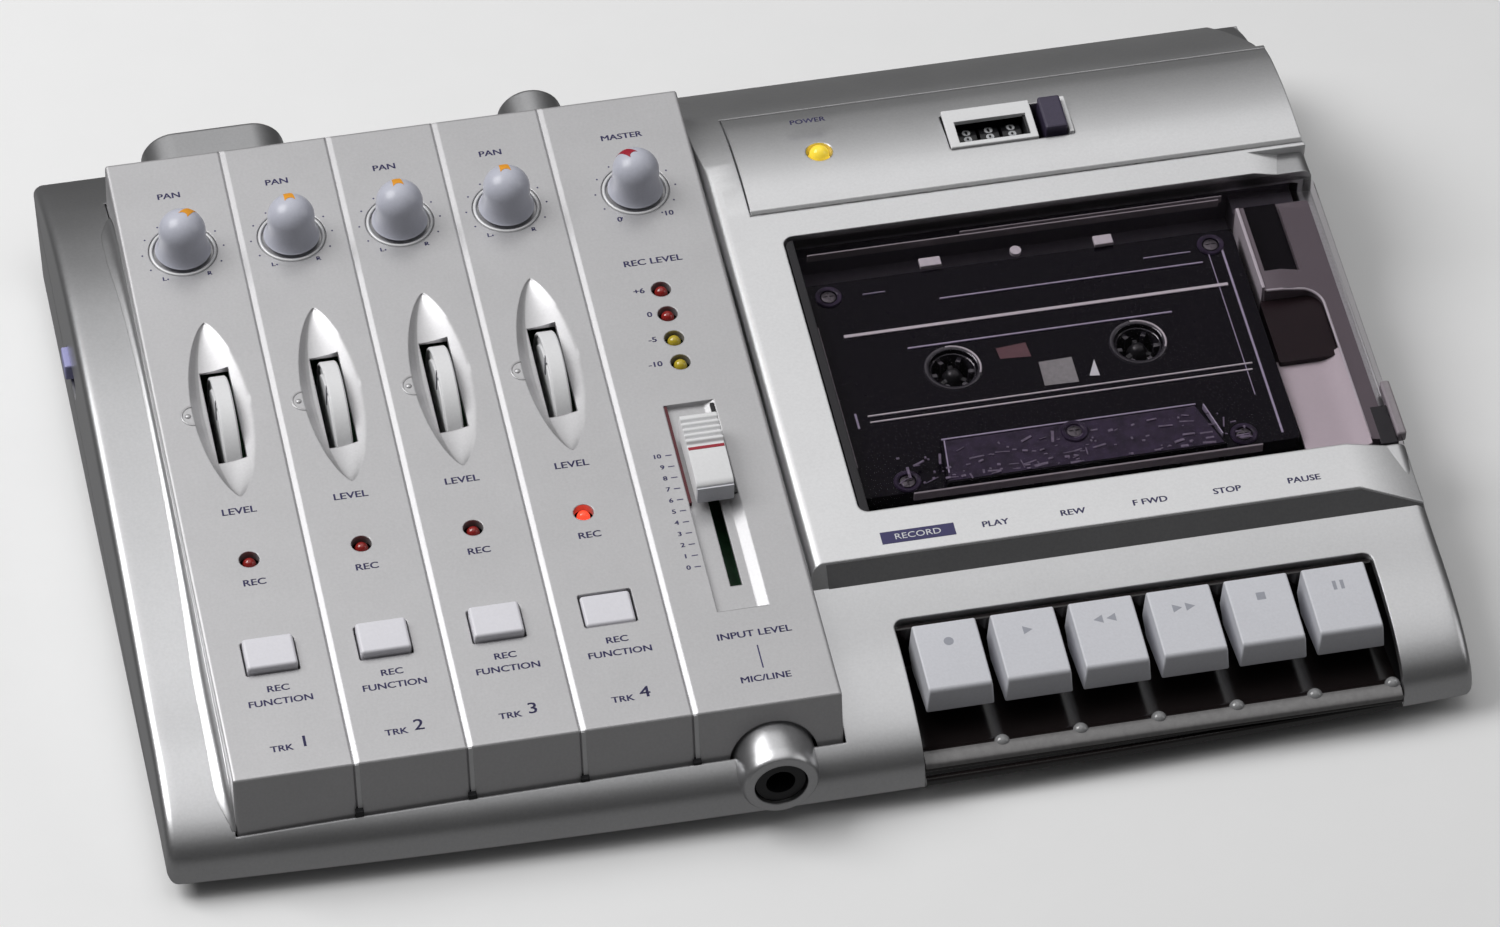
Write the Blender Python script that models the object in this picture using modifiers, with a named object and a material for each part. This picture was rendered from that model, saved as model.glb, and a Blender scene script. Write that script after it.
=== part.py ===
"""Portable four-track cassette recorder: silver case, mixer panel on the left, cassette deck on the right.

World frame: +X to the right, +Y to the rear, +Z up, metres. The origin is under the middle of the case on
the surface that it stands on. Lengths below are in millimetres and become metres where a mesh is made.

The mixer panel and the deck slope: both are laid out in panel coordinates (x, v, w), where v runs up the slope
from the mixer panel's front edge and w is the height over the mixer panel's top face.
"""
import math

import bmesh
import bpy
from mathutils import Matrix, Vector

MM = 0.001
GAP = 0.35                      # clearance between pieces that touch

# ---- driving dimensions of the case ----
HALF_WIDTH = 143.5
HALF_DEPTH = 105.9
CASE_BOTTOM = 4.0
WALL = 2.4
FLOOR_TOP = 6.0
FRONT_BOW = 3.6                 # how far the front edge bulges in the middle
SIDE_DRAFT = 1.3
UNDERCUT_START = 89.8           # where the underside starts to rise to the rear edge
REAR_EDGE_LOW = 17.3
REAR_EDGE_TOP = 19.5

# ---- the sloping mixer panel ----
TILT = math.radians(4.8)
PANEL_FRONT_Y = -95.2
PANEL_FRONT_Z = 26.2
PANEL_LENGTH = 181.0
PANEL_LEFT = -128.0
PANEL_RIGHT = 3.8
PANEL_WALL = 2.2
STRIP_EDGES = (-101.5, -77.1, -52.7, -28.3)
COLUMNS = (-114.6, -90.0, -65.4, -41.0)
MASTER_X = -11.4
KNOB_V = 152.0
WHEEL_V = 103.0
WHEEL_OFFSET = 1.2              # the wheels sit right of their column's middle
WHEEL_RADIUS = 15.5
WHEEL_WIDTH = 3.8
WHEEL_AXIS_W = -11.5
SLOT_WIDTH = 6.4
SLOT_LENGTH = 26.8
SCOOP_LENGTH = 51.6
SCOOP_WIDTH = 13.4
REC_LED_V = 60.0
REC_BUTTON_V = 32.4
REC_BUTTON_SIZE = (11.0, 8.6)
BUTTON_TRAVEL = 1.8
LEVEL_LED_X = -11.6
LEVEL_LED_V = (99.1, 106.3, 113.7, 121.2)
FADER_X = -12.2
FADER_V = 68.0
FADER_TROUGH = (27.0, 87.0, 11.4)
FADER_SLOT = (34.5, 79.0, 2.4)

# ---- the deck ----
DECK_LEFT = 5.4
DECK_W = -3.0                   # the deck's top face, below the mixer panel's
DECK_FRONT_V = 38.8
STEP_DROP = 6.4
SEAM_V = 141.8
COVER_END_Y = 81.4
COVER_LEFT = 13.4
COVER_SEAT_Z = 31.6
DOOR_LEFT = 18.8
DOOR_FRONT_V = 51.4
DOOR_REAR_V = 134.3
DOOR_PLATE = 2.0
DOOR_RIM = 5.0
DOOR_HINGE_V = 131.2
DOOR_HINGE_W = DECK_W - 1.9
CREASE_X = 128.5                # where the deck's right side starts to fall away
CREASE_SLOPE = 0.27

# ---- keys ----
KEY_COUNT = 6
KEY_PITCH = 17.4
KEY_WIDTH = 15.1
KEY_FIRST_X = 30.75
KEY_AXIS_Y = -53.5
KEY_AXIS_Z = 14.6
POCKET = (20.2, 127.4)
POCKET_BACK_Y = -70.8
KEY_NAMES = ("record", "play", "rewind", "fast_forward", "stop", "pause")

# ---- cassette and transport, in panel coordinates ----
HUB_X = 70.7
HUB_V = 93.4
HUB_SPACING = 42.5
CASSETTE_SIZE = (100.4, 63.8, 8.7)
CASSETTE_TOP_W = DECK_W - 5.3
CASSETTE_FRONT_V = HUB_V - 34.0
CHASSIS_TOP_W = DECK_W - 16.2
CHASSIS_PLATE = 1.4
CAPSTAN = (96.4, 64.9)
PINCH_V = 54.6
HEAD_TRAVEL = 4.0
MOTOR = (120.0, 155.5)
PULLEY_RADIUS = 3.0
FLYWHEEL_RADIUS = 17.0

# ---- jacks ----
FRONT_JACK = (-11.6, 11.9, 9.7)
REAR_JACKS = {"line_out_jack_left": (-110.0, 23.6), "line_out_jack_right": (-92.4, 23.6), "phones_jack": (-27.2, 22.6)}
REAR_BOSSES = {"line_out": (-110.0, 17.6, 23.6, 7.8), "phones": (-27.2, 0.0, 22.6, 7.6)}
BOSS_START_Y = 88.6
BOSS_END_Y = 104.6
SLEEVE_RADIUS = 5.5
SLEEVE_BORE = SLEEVE_RADIUS + 0.4
SOCKET_RADIUS = 3.2

MATERIALS = {
    "silver": ((0.50, 0.50, 0.51), 0.35, 0.6),
    "black": ((0.015, 0.015, 0.017), 0.4, 0.0),
    "knob": ((0.62, 0.62, 0.68), 0.4, 0.0),
    "white": ((0.78, 0.79, 0.80), 0.4, 0.0),
    "smoke": ((0.05, 0.04, 0.06), 0.1, 0.0),
    "shell": ((0.10, 0.09, 0.11), 0.2, 0.0),
    "chassis": ((0.25, 0.23, 0.26), 0.45, 0.2),
    "steel": ((0.6, 0.6, 0.6), 0.25, 1.0),
    "brass": ((0.7, 0.52, 0.25), 0.3, 1.0),
    "rubber": ((0.02, 0.02, 0.02), 0.8, 0.0),
    "board": ((0.05, 0.16, 0.08), 0.5, 0.0),
    "tape": ((0.06, 0.035, 0.025), 0.4, 0.0),
    "lilac": ((0.45, 0.42, 0.60), 0.45, 0.0),
}


# ------------------------------------------------------------------ frame and helpers
def panel_matrix():
    """Panel coordinates to world coordinates, both in millimetres."""
    return Matrix.Translation((0, PANEL_FRONT_Y, PANEL_FRONT_Z)) @ Matrix.Rotation(TILT, 4, "X")


PANEL = panel_matrix()
WORLD = Matrix.Identity(4)


def panel_yz(v, w):
    """World y and z of a point given by its panel v and w."""
    point = PANEL @ Vector((0, v, w))
    return point.y, point.z


def clear_scene():
    for old in list(bpy.data.objects):
        bpy.data.objects.remove(old, do_unlink=True)


def make_collection(name):
    collection = bpy.data.collections.new(name)
    bpy.context.scene.collection.children.link(collection)
    return collection


def make_materials():
    made = {}
    for name, (colour, roughness, metallic) in MATERIALS.items():
        material = bpy.data.materials.new(name)
        material.use_nodes = True
        shader = material.node_tree.nodes["Principled BSDF"]
        shader.inputs["Base Color"].default_value = (*colour, 1)
        shader.inputs["Roughness"].default_value = roughness
        shader.inputs["Metallic"].default_value = metallic
        made[name] = material
    return made


clear_scene()
PARTS = make_collection("cassette_recorder")
CUTTERS = make_collection("cutters")
FINISH = make_materials()


def finish_mesh(name, bm, frame, finish, origin):
    """Turn a bmesh in millimetres into an object in metres, in PARTS, or in CUTTERS when it has no finish."""
    bmesh.ops.recalc_face_normals(bm, faces=bm.faces)
    if bm.calc_volume(signed=True) < 0:
        bmesh.ops.reverse_faces(bm, faces=bm.faces)
    place = Matrix.Translation(origin)
    bm.transform(place.inverted())
    bm.transform(Matrix.Scale(MM, 4))
    mesh = bpy.data.meshes.new(name)
    bm.to_mesh(mesh)
    bm.free()
    obj = bpy.data.objects.new(name, mesh)
    world = frame @ place
    obj.matrix_world = Matrix.Translation(world.to_translation() * MM) @ world.to_3x3().to_4x4()
    if finish:
        mesh.materials.append(FINISH[finish])
        PARTS.objects.link(obj)
    else:
        CUTTERS.objects.link(obj)
        obj.hide_render = True
        obj.display_type = "WIRE"
    return obj


def box(name, low, high, finish=None, frame=PANEL, bevel=0.0, segments=2, origin=(0, 0, 0)):
    bm = bmesh.new()
    bmesh.ops.create_cube(bm, size=1.0)
    size = Vector(high) - Vector(low)
    middle = (Vector(high) + Vector(low)) / 2
    bm.transform(Matrix.Translation(middle) @ Matrix.Diagonal((*size, 1)))
    if bevel:
        bmesh.ops.bevel(bm, geom=bm.edges[:], offset=bevel, segments=segments, affect="EDGES", profile=0.5)
    return finish_mesh(name, bm, frame, finish, origin)


AXES = {"X": Matrix.Rotation(math.pi / 2, 4, "Y"), "Y": Matrix.Rotation(-math.pi / 2, 4, "X"), "Z": WORLD}


def cylinder(name, base, radius, length, axis="Z", finish=None, frame=PANEL, sides=32, top_radius=None,
             origin=(0, 0, 0)):
    """A cylinder or cone that starts at base and runs in the positive direction of an axis."""
    bm = bmesh.new()
    bmesh.ops.create_cone(bm, cap_ends=True, segments=sides, radius1=radius,
                          radius2=radius if top_radius is None else top_radius, depth=length)
    bm.transform(Matrix.Translation((0, 0, length / 2)))
    bm.transform(Matrix.Translation(base) @ AXES[axis])
    return finish_mesh(name, bm, frame, finish, origin)


def prism(name, outline, low_x, high_x, finish=None, frame=WORLD, bevel=0.0, origin=(0, 0, 0)):
    """An outline of (y, z) points, extruded from low_x to high_x."""
    bm = bmesh.new()
    face = bm.faces.new([bm.verts.new((low_x, y, z)) for y, z in outline])
    swept = bmesh.ops.extrude_face_region(bm, geom=[face])["geom"]
    moved = [item for item in swept if isinstance(item, bmesh.types.BMVert)]
    bmesh.ops.translate(bm, verts=moved, vec=(high_x - low_x, 0, 0))
    if bevel:
        bmesh.ops.bevel(bm, geom=bm.edges[:], offset=bevel, segments=2, affect="EDGES", profile=0.5)
    return finish_mesh(name, bm, frame, finish, origin)


def slab(name, outline, low_w, high_w, finish=None, frame=PANEL):
    """An outline of (x, v) points, extruded from low_w to high_w."""
    bm = bmesh.new()
    face = bm.faces.new([bm.verts.new((x, v, low_w)) for x, v in outline])
    swept = bmesh.ops.extrude_face_region(bm, geom=[face])["geom"]
    moved = [item for item in swept if isinstance(item, bmesh.types.BMVert)]
    bmesh.ops.translate(bm, verts=moved, vec=(0, 0, high_w - low_w))
    return finish_mesh(name, bm, frame, finish, (0, 0, 0))


def loft(name, sections, finish=None):
    """A solid through rings of equally many world points, closed by its first and last ring."""
    bm = bmesh.new()
    rings = [[bm.verts.new(point) for point in ring] for ring in sections]
    count = len(rings[0])
    for near, far in zip(rings, rings[1:]):
        for index in range(count):
            following = (index + 1) % count
            bm.faces.new((near[index], near[following], far[following], far[index]))
    bm.faces.new(rings[0])
    bm.faces.new(rings[-1])
    return finish_mesh(name, bm, WORLD, finish, (0, 0, 0))


def turned(name, profile, place, finish, frame=PANEL, steps=32):
    """A body of revolution about the w axis: profile lists (radius, height) from the top to the bottom."""
    bm = bmesh.new()
    points = [bm.verts.new((radius * MM, 0, height * MM)) for radius, height in profile]
    for first, second in zip(points, points[1:]):
        bm.edges.new((first, second))
    mesh = bpy.data.meshes.new(name)
    bm.to_mesh(mesh)
    bm.free()
    mesh.materials.append(FINISH[finish])
    obj = bpy.data.objects.new(name, mesh)
    PARTS.objects.link(obj)
    world = frame @ Matrix.Translation(place)
    obj.matrix_world = Matrix.Translation(world.to_translation() * MM) @ world.to_3x3().to_4x4()
    screw = obj.modifiers.new("turn", "SCREW")
    screw.steps = steps
    screw.render_steps = steps
    screw.use_merge_vertices = True
    screw.merge_threshold = 0.00001
    return obj


def combine(target, tool, operation):
    modifier = target.modifiers.new(operation.lower(), "BOOLEAN")
    modifier.operation = operation
    modifier.object = tool
    return target


def cut(target, *tools):
    for tool in tools:
        combine(target, tool, "DIFFERENCE")
    return target


def add(target, *tools):
    for tool in tools:
        combine(target, tool, "UNION")
    return target


# ------------------------------------------------------------------ outlines of the case
def case_outline():
    """The case's section across its length: lip, rolled apron, arched top, rear edge and rising underside."""
    front = -HALF_DEPTH + FRONT_BOW + 0.7
    return [(front, CASE_BOTTOM), (front, 9.3), (front + 1.6, 11.0), (-97.5, 13.4), (-92.0, 16.2), (-83.5, 18.9),
            (-75.0, 20.2), (-63.0, 21.4), (-42.0, 25.2), (-20.0, 28.6), (4.0, 31.6), (28.0, 33.3), (52.0, 33.2),
            (72.0, 30.9), (86.0, 27.7), (97.0, 23.8), (HALF_DEPTH - 1.0, REAR_EDGE_TOP + 0.4),
            (HALF_DEPTH, REAR_EDGE_TOP - 0.6), (HALF_DEPTH, REAR_EDGE_LOW), (UNDERCUT_START, CASE_BOTTOM)]


def inset(outline, distance):
    """The outline moved inwards, which runs clockwise when it is looked at along +X."""
    count = len(outline)
    moved = []
    for index, (y, z) in enumerate(outline):
        before = Vector(outline[index - 1])
        here = Vector((y, z))
        after = Vector(outline[(index + 1) % count])
        first = (here - before).normalized()
        second = (after - here).normalized()
        normal = (Vector((first.y, -first.x)) + Vector((second.y, -second.x))).normalized()
        stretch = max(0.5, normal.dot(Vector((first.y, -first.x))))
        moved.append(tuple(here + normal * distance / stretch))
    return moved


def bowed(x, y):
    """World y of an outline point at x: the front edge bulges, the middle and rear stay straight."""
    weight = min(1.0, max(0.0, (-60.0 - y) / 40.0))
    return y - FRONT_BOW * weight * (1 - (x / HALF_WIDTH) ** 2)


def case_rings(outline, half_width, edge=0.0):
    """Rings along X for an outline, with bowed front, drafted ends and, if edge is set, chamfered ends."""
    stations = [index * half_width / 5 for index in range(-5, 6)]
    rings = []
    for station in stations:
        end = abs(station) == half_width
        ring = []
        for y, z in outline:
            x = station
            if end:
                x -= math.copysign(SIDE_DRAFT * (z - CASE_BOTTOM) / 30 + edge, station)
            ring.append((x, bowed(station, y), z))
        rings.append(ring)
    if edge:
        shrunk = inset(outline, edge)
        caps = [[(station - math.copysign(SIDE_DRAFT * (z - CASE_BOTTOM) / 30, station), bowed(station, y),
                  max(z, CASE_BOTTOM)) for y, z in shrunk] for station in (-half_width, half_width)]
        rings = [caps[0], *rings, caps[1]]
    return rings


def crease_cutter(name, lowered):
    """A block whose underside is the deck's falling right side, lowered by a thickness, as far as the seam."""
    tool = box(name, (-60, -200, 0), (140, SEAM_V - DECK_FRONT_V - 0.2, 60))
    world = PANEL @ Matrix.Translation((CREASE_X, DECK_FRONT_V, DECK_W - lowered)) \
        @ Matrix.Rotation(math.atan(CREASE_SLOPE), 4, "Y")
    tool.matrix_world = Matrix.Translation(world.to_translation() * MM) @ world.to_3x3().to_4x4()
    return tool


# ------------------------------------------------------------------ case
def pill(name, left, right, z, radius, steps=12):
    """A jack boss at the rear: a bar with round ends, or a plain cylinder where left equals right."""
    ring = []
    for centre, start in ((right, -90), (left, 90)):
        for step in range(steps + 1):
            angle = math.radians(start + 180 * step / steps)
            ring.append((centre + radius * math.cos(angle), z + radius * math.sin(angle)))
    if left == right:
        ring = ring[:steps] + ring[steps + 1:-1]
    return loft(name, [[(x, y, height) for x, height in ring] for y in (BOSS_START_Y, BOSS_END_Y)])


def deck_outline():
    """World (y, z) outline of the deck block: step, sloping top, crowned rear and dark rear band."""
    step_foot = panel_yz(DECK_FRONT_V - STEP_DROP, DECK_W - STEP_DROP)
    crown = [(56.0, 35.9), (66.0, 35.8), (74.0, 34.9), (81.0, 33.4)]
    rear_band = [(87.0, 31.2), (97.0, 25.8), (HALF_DEPTH - 0.9, REAR_EDGE_TOP + 1.2),
                 (HALF_DEPTH - 0.4, REAR_EDGE_TOP - 0.4)]
    low = [(HALF_DEPTH - 4.0, 16.0), (80.0, 16.0), (step_foot[0] + 8, 16.0)]
    return [step_foot, panel_yz(DECK_FRONT_V, DECK_W), panel_yz(SEAM_V, DECK_W), *crown, *rear_band, *low]


def make_top_case():
    case = loft("top_case", case_rings(case_outline(), HALF_WIDTH, 1.2), "silver")
    deck = prism("deck_block", deck_outline(), DECK_LEFT, HALF_WIDTH - 1.2)
    corner = slab("rear_corner", [(135.0, 120.0), (135.0, 105.0), (140.5, 83.0), (150.0, 83.0), (150.0, 120.0)],
                  REAR_EDGE_TOP, 60.0, frame=WORLD)
    cut(deck, crease_cutter("deck_crease", 0.0), corner)
    add(case, deck)
    bosses = [pill(f"{name}_boss", x, x + spread, z, radius) for name, (x, spread, z, radius) in REAR_BOSSES.items()]
    x, z, radius = FRONT_JACK
    front_boss = cylinder("front_boss", (x, -HALF_DEPTH, z), radius, 7.0, "Y", frame=WORLD)

    hollow = inset(case_outline(), WALL)
    hollow[0] = (hollow[1][0], -5.0)
    hollow[-2] = (hollow[-3][0], REAR_EDGE_LOW - 2)
    hollow[-1] = (hollow[-3][0], -5.0)
    cavity = loft("case_cavity", case_rings(hollow, HALF_WIDTH - WALL))
    foot = panel_yz(DECK_FRONT_V - STEP_DROP + 3.5, 0)[0]
    deck_cavity = prism("deck_cavity", [
        (foot, 12), panel_yz(DECK_FRONT_V + 1.2, DECK_W - WALL), panel_yz(SEAM_V - 1, DECK_W - WALL - 2.6),
        (COVER_END_Y - 2, COVER_SEAT_Z - WALL), (88, 29), (98, 22), (99, 12)], DECK_LEFT + WALL, HALF_WIDTH - 4.2)
    cut(deck_cavity, crease_cutter("cavity_crease", WALL))
    cut(case, cavity, deck_cavity)
    add(case, *bosses, front_boss)

    cover_seat = box("cover_seat", (COVER_LEFT - GAP, panel_yz(SEAM_V, DECK_W)[0], COVER_SEAT_Z),
                     (HALF_WIDTH + 5, COVER_END_Y + GAP, 60.0), frame=WORLD)
    opening = box("panel_opening", (PANEL_LEFT - GAP, -99.0, 5.0), (PANEL_RIGHT + GAP, 88.2, 60.0), frame=WORLD)
    door_hole = box("door_hole", (DOOR_LEFT, DOOR_FRONT_V, DECK_W - 8.5), (HALF_WIDTH + 5, DOOR_REAR_V, 20))
    pocket = box("key_pocket", (POCKET[0], -120.0, -5.0), (POCKET[1], POCKET_BACK_Y, 60.0), frame=WORLD)
    counter = box("counter_hole", (60.5, 152.0, -30), (92.7, 166.5, 20))
    led = cylinder("power_led_hole", (32.6, 158.6, -30), 3.4, 50)
    bores = [cylinder(f"{name}_bore", (jx, 80, jz), SLEEVE_BORE, 40, "Y", frame=WORLD)
             for name, (jx, jz) in REAR_JACKS.items()]
    bores.append(cylinder("front_jack_bore", (x, -115, z), SLEEVE_BORE, 30, "Y", frame=WORLD))
    switch = box("power_slot", (-150, 36.0, 16.2), (-139, 50.0, 21.4), frame=WORLD)
    return cut(case, cover_seat, opening, door_hole, pocket, counter, led, *bores, switch)


def make_bottom_case():
    outline = [(-98.6, CASE_BOTTOM), (-98.6, FLOOR_TOP), (UNDERCUT_START - 0.9, FLOOR_TOP), (99.6, 14.8),
               (102.4, 14.8), (102.4, 14.3), (UNDERCUT_START, CASE_BOTTOM)]
    tray = loft("bottom_case", case_rings(outline, HALF_WIDTH - WALL - 2 * GAP), "black")
    inlet = cylinder("dc_hole", (-60, 80, 11.6), 4.8, 40, "Y", frame=WORLD)
    x, z, radius = FRONT_JACK
    boss = cylinder("boss_clearance", (x, -110, z), radius + GAP, 12, "Y", frame=WORLD)
    return cut(tray, inlet, boss)


def make_feet():
    for side, x in (("left", -118.0), ("right", 118.0)):
        for end, y in (("front", -82.0), ("rear", 76.0)):
            cylinder(f"foot_{end}_{side}", (x, y, 0.0), 7.0, CASE_BOTTOM - GAP, finish="rubber", frame=WORLD,
                     sides=28, top_radius=7.6)


# ------------------------------------------------------------------ mixer panel and its controls
def lens_outline(x, v, length, width, steps=8):
    """Two circular arcs that meet in a point at each end."""
    half_length = length / 2
    half_width = width / 2
    radius = (half_length ** 2 + half_width ** 2) / (2 * half_width)
    reach = math.asin(half_length / radius)
    points = []
    for side in (1, -1):
        for index in range(steps):
            angle = side * (-reach + 2 * reach * index / steps)
            points.append((x + side * (radius * math.cos(angle) - radius + half_width),
                           v + radius * math.sin(angle)))
    return points


def panel_outline():
    """World (y, z) outline of the mixer panel: sloping top, leaning front, and feet that follow the case."""
    top_rear = panel_yz(PANEL_LENGTH, 0)
    return [(PANEL_FRONT_Y, PANEL_FRONT_Z), top_rear, (top_rear[0] + 2.2, 26.0), (60.0, 30.6), (30.0, 31.6),
            (0.0, 29.2), (-40.0, 23.8), (-70.0, 18.8), (-92.0, 14.4), (-98.3, 11.6)]


def make_mixer_panel():
    panel = prism("mixer_panel", panel_outline(), PANEL_LEFT, PANEL_RIGHT, "silver", bevel=0.8)
    top_rear = panel_yz(PANEL_LENGTH - PANEL_WALL, -PANEL_WALL)
    hollow = prism("panel_hollow", [panel_yz(PANEL_WALL, -PANEL_WALL), top_rear, (top_rear[0] + 1.5, 5.0),
                                    (-96.2, 5.0), (-96.0, 11.6)],
                   PANEL_LEFT + PANEL_WALL, PANEL_RIGHT - PANEL_WALL)
    cut(panel, hollow)
    for number, x in enumerate(STRIP_EDGES, 1):
        band = [(-103.0, 8.0), (-98.0, 32.0), (90.0, 48.0), (90.0, 40.9), panel_yz(PANEL_LENGTH, -0.8),
                panel_yz(0.8, -0.8), (-97.6, 11.0)]
        cut(panel, prism(f"groove_{number}", band, x - 0.6, x + 0.6))
    for number, x in enumerate(COLUMNS, 1):
        middle = x + WHEEL_OFFSET
        scoop = slab(f"scoop_{number}", lens_outline(middle, WHEEL_V + 0.9, SCOOP_LENGTH, SCOOP_WIDTH), -1.2, 5)
        slot = box(f"wheel_slot_{number}", (middle - SLOT_WIDTH / 2, WHEEL_V - SLOT_LENGTH / 2, -9),
                   (middle + SLOT_WIDTH / 2, WHEEL_V + SLOT_LENGTH / 2, 5))
        width, length = REC_BUTTON_SIZE
        button = box(f"button_hole_{number}", (x - width / 2 - GAP, REC_BUTTON_V - length / 2 - GAP, -9),
                     (x + width / 2 + GAP, REC_BUTTON_V + length / 2 + GAP, 5))
        cut(panel, scoop, slot, button, cylinder(f"rec_led_hole_{number}", (x, REC_LED_V, -9), 2.25, 14, sides=16))
    for number, x in enumerate((*COLUMNS, MASTER_X), 1):
        cut(panel, cylinder(f"knob_ring_{number}", (x, KNOB_V, -0.6), 7.8, 5, sides=24),
            cylinder(f"knob_hole_{number}", (x, KNOB_V, -9), 3.6, 14, sides=16))
    for number, v in enumerate(LEVEL_LED_V, 1):
        cut(panel, cylinder(f"level_led_hole_{number}", (LEVEL_LED_X, v, -9), 2.25, 14, sides=16))
    x, z, _ = FRONT_JACK
    cut(panel, cylinder("front_jack_notch", (x, -102, z), SLEEVE_BORE, 12, "Y", frame=WORLD))
    low, high, width = FADER_TROUGH
    cut(panel, box("fader_trough", (FADER_X - width / 2, low, -1.2), (FADER_X + width / 2, high, 5)))
    low, high, width = FADER_SLOT
    return cut(panel, box("fader_slot", (FADER_X - width / 2, low, -9), (FADER_X + width / 2, high, 5)))


def make_knob(name, x):
    """A domed knob on its shaft stub."""
    dome = [(5.2 * math.sin(math.radians(angle)), 9.4 + 1.6 * math.cos(math.radians(angle)))
            for angle in (0, 35, 65, 90)]
    profile = [*dome, (6.1, 3.0), (6.75, 0.0), (3.0, 0.0), (3.0, -9.0), (0.0, -9.0)]
    return turned(name, profile, (x, KNOB_V, 0.2), "knob", steps=22)


def make_knobs():
    for number, x in enumerate(COLUMNS, 1):
        make_knob(f"pan_knob_{number}", x)
    make_knob("master_knob", MASTER_X)


def make_level_wheels():
    for number, x in enumerate(COLUMNS, 1):
        middle = x + WHEEL_OFFSET + 0.4
        wheel = cylinder(f"level_wheel_{number}", (middle - WHEEL_WIDTH / 2, WHEEL_V, WHEEL_AXIS_W), WHEEL_RADIUS,
                         WHEEL_WIDTH, "X", "white", sides=36, origin=(middle, WHEEL_V, WHEEL_AXIS_W))
        hub = cylinder(f"wheel_hub_{number}", (middle - 5.0, WHEEL_V, WHEEL_AXIS_W), 2.0, 5.0, "X", sides=16)
        add(wheel, hub)


def make_rec_buttons():
    width, length = REC_BUTTON_SIZE
    for number, x in enumerate(COLUMNS, 1):
        top = 2.0 if number < 4 else 2.0 - BUTTON_TRAVEL
        box(f"rec_button_{number}", (x - width / 2, REC_BUTTON_V - length / 2, top - 8),
            (x + width / 2, REC_BUTTON_V + length / 2, top), "white", bevel=0.7)


def make_fader():
    cap = box("fader_cap", (FADER_X - 4.2, FADER_V - 10.5, 0.5), (FADER_X + 4.2, FADER_V + 10.5, 7.5), "white",
              bevel=0.8)
    stem = box("fader_stem", (FADER_X - 0.8, FADER_V - 2.5, -9.0), (FADER_X + 0.8, FADER_V + 2.5, 2.0))
    add(cap, stem)


def led_row(name, plate_low, plate_high, places, top):
    """A thin board with a row of LEDs on it."""
    board = box(name, plate_low, plate_high, "board")
    for number, (x, v) in enumerate(places, 1):
        stem = cylinder(f"{name}_led_{number}", (x, v, plate_high[2] - 0.3), 1.5, top - 0.7 - plate_high[2], sides=12)
        dome = cylinder(f"{name}_dome_{number}", (x, v, top - 1.2), 1.5, 1.2, sides=12, top_radius=0.8)
        add(board, stem, dome)
    return board


def make_boards():
    led_row("rec_led_board", (-120, 56, -9.2), (-36, 64, -8.0), [(x, REC_LED_V) for x in COLUMNS], -0.3)
    led_row("level_led_board", (-15.5, 95, -9.2), (-7.5, 125.5, -8.0), [(LEVEL_LED_X, v) for v in LEVEL_LED_V], 0.2)
    pcb = box("main_pcb", (-124, 88, -15.2), (0, 174, -13.6), "board")
    for number, x in enumerate(COLUMNS, 1):
        middle = x + WHEEL_OFFSET + 0.4
        window = box(f"pcb_window_{number}", (middle - 8.0, 80, -30), (middle + 3.2, 121, 5))
        cut(pcb, window)
    for number, x in enumerate((*COLUMNS, MASTER_X), 1):
        add(pcb, box(f"pot_{number}", (x - 5, KNOB_V - 6, -14), (x + 5, KNOB_V + 6, -9.4)))
    add(pcb, box("pcb_tongue", (FADER_X - 8, 26, -15.2), (FADER_X + 8, 90, -13.6)),
        box("fader_pot", (FADER_X - 4.5, 30, -14.4), (FADER_X + 4.5, 83, -9.5)))
    deck_pcb = box("deck_pcb", (24, 150, -14.4), (56, 172, -12.8), "board")
    x, v = 32.6, 158.6
    add(deck_pcb, cylinder("power_led_stem", (x, v, -13.1), 1.5, 10.4, sides=12),
        cylinder("power_led_dome", (x, v, -2.9), 1.5, 1.0, sides=12, top_radius=0.8))


# ------------------------------------------------------------------ jacks, inlet and switch
def make_jacks():
    for name, (x, z) in REAR_JACKS.items():
        sleeve = cylinder(name, (x, 91.0, z), SLEEVE_RADIUS, 12.6, "Y", "black", WORLD)
        cut(sleeve, cylinder(f"{name}_socket", (x, 93.0, z), SOCKET_RADIUS, 20, "Y", frame=WORLD, sides=24))
    x, z, _ = FRONT_JACK
    sleeve = cylinder("front_jack", (x, -105.0, z), SLEEVE_RADIUS, 16.0, "Y", "black", WORLD)
    cut(sleeve, cylinder("front_jack_socket", (x, -107.0, z), SOCKET_RADIUS, 16, "Y", frame=WORLD, sides=24))
    inlet = cylinder("dc_inlet", (-60, 90.6, 11.6), 4.4, 12.4, "Y", "black", WORLD, sides=24)
    cut(inlet, cylinder("dc_bore", (-60, 93, 11.6), 2.8, 20, "Y", frame=WORLD, sides=20))
    add(inlet, cylinder("dc_pin", (-60, 92, 11.6), 0.9, 10.0, "Y", frame=WORLD, sides=12))


def make_power_slider():
    slider = box("power_slider", (-144.2, 43.0, 16.7), (-142.0, 49.6, 20.9), "lilac", WORLD, bevel=0.4)
    add(slider, box("power_slider_stem", (-143, 44.5, 17.2), (-137.5, 48.0, 20.4), frame=WORLD))


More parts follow.
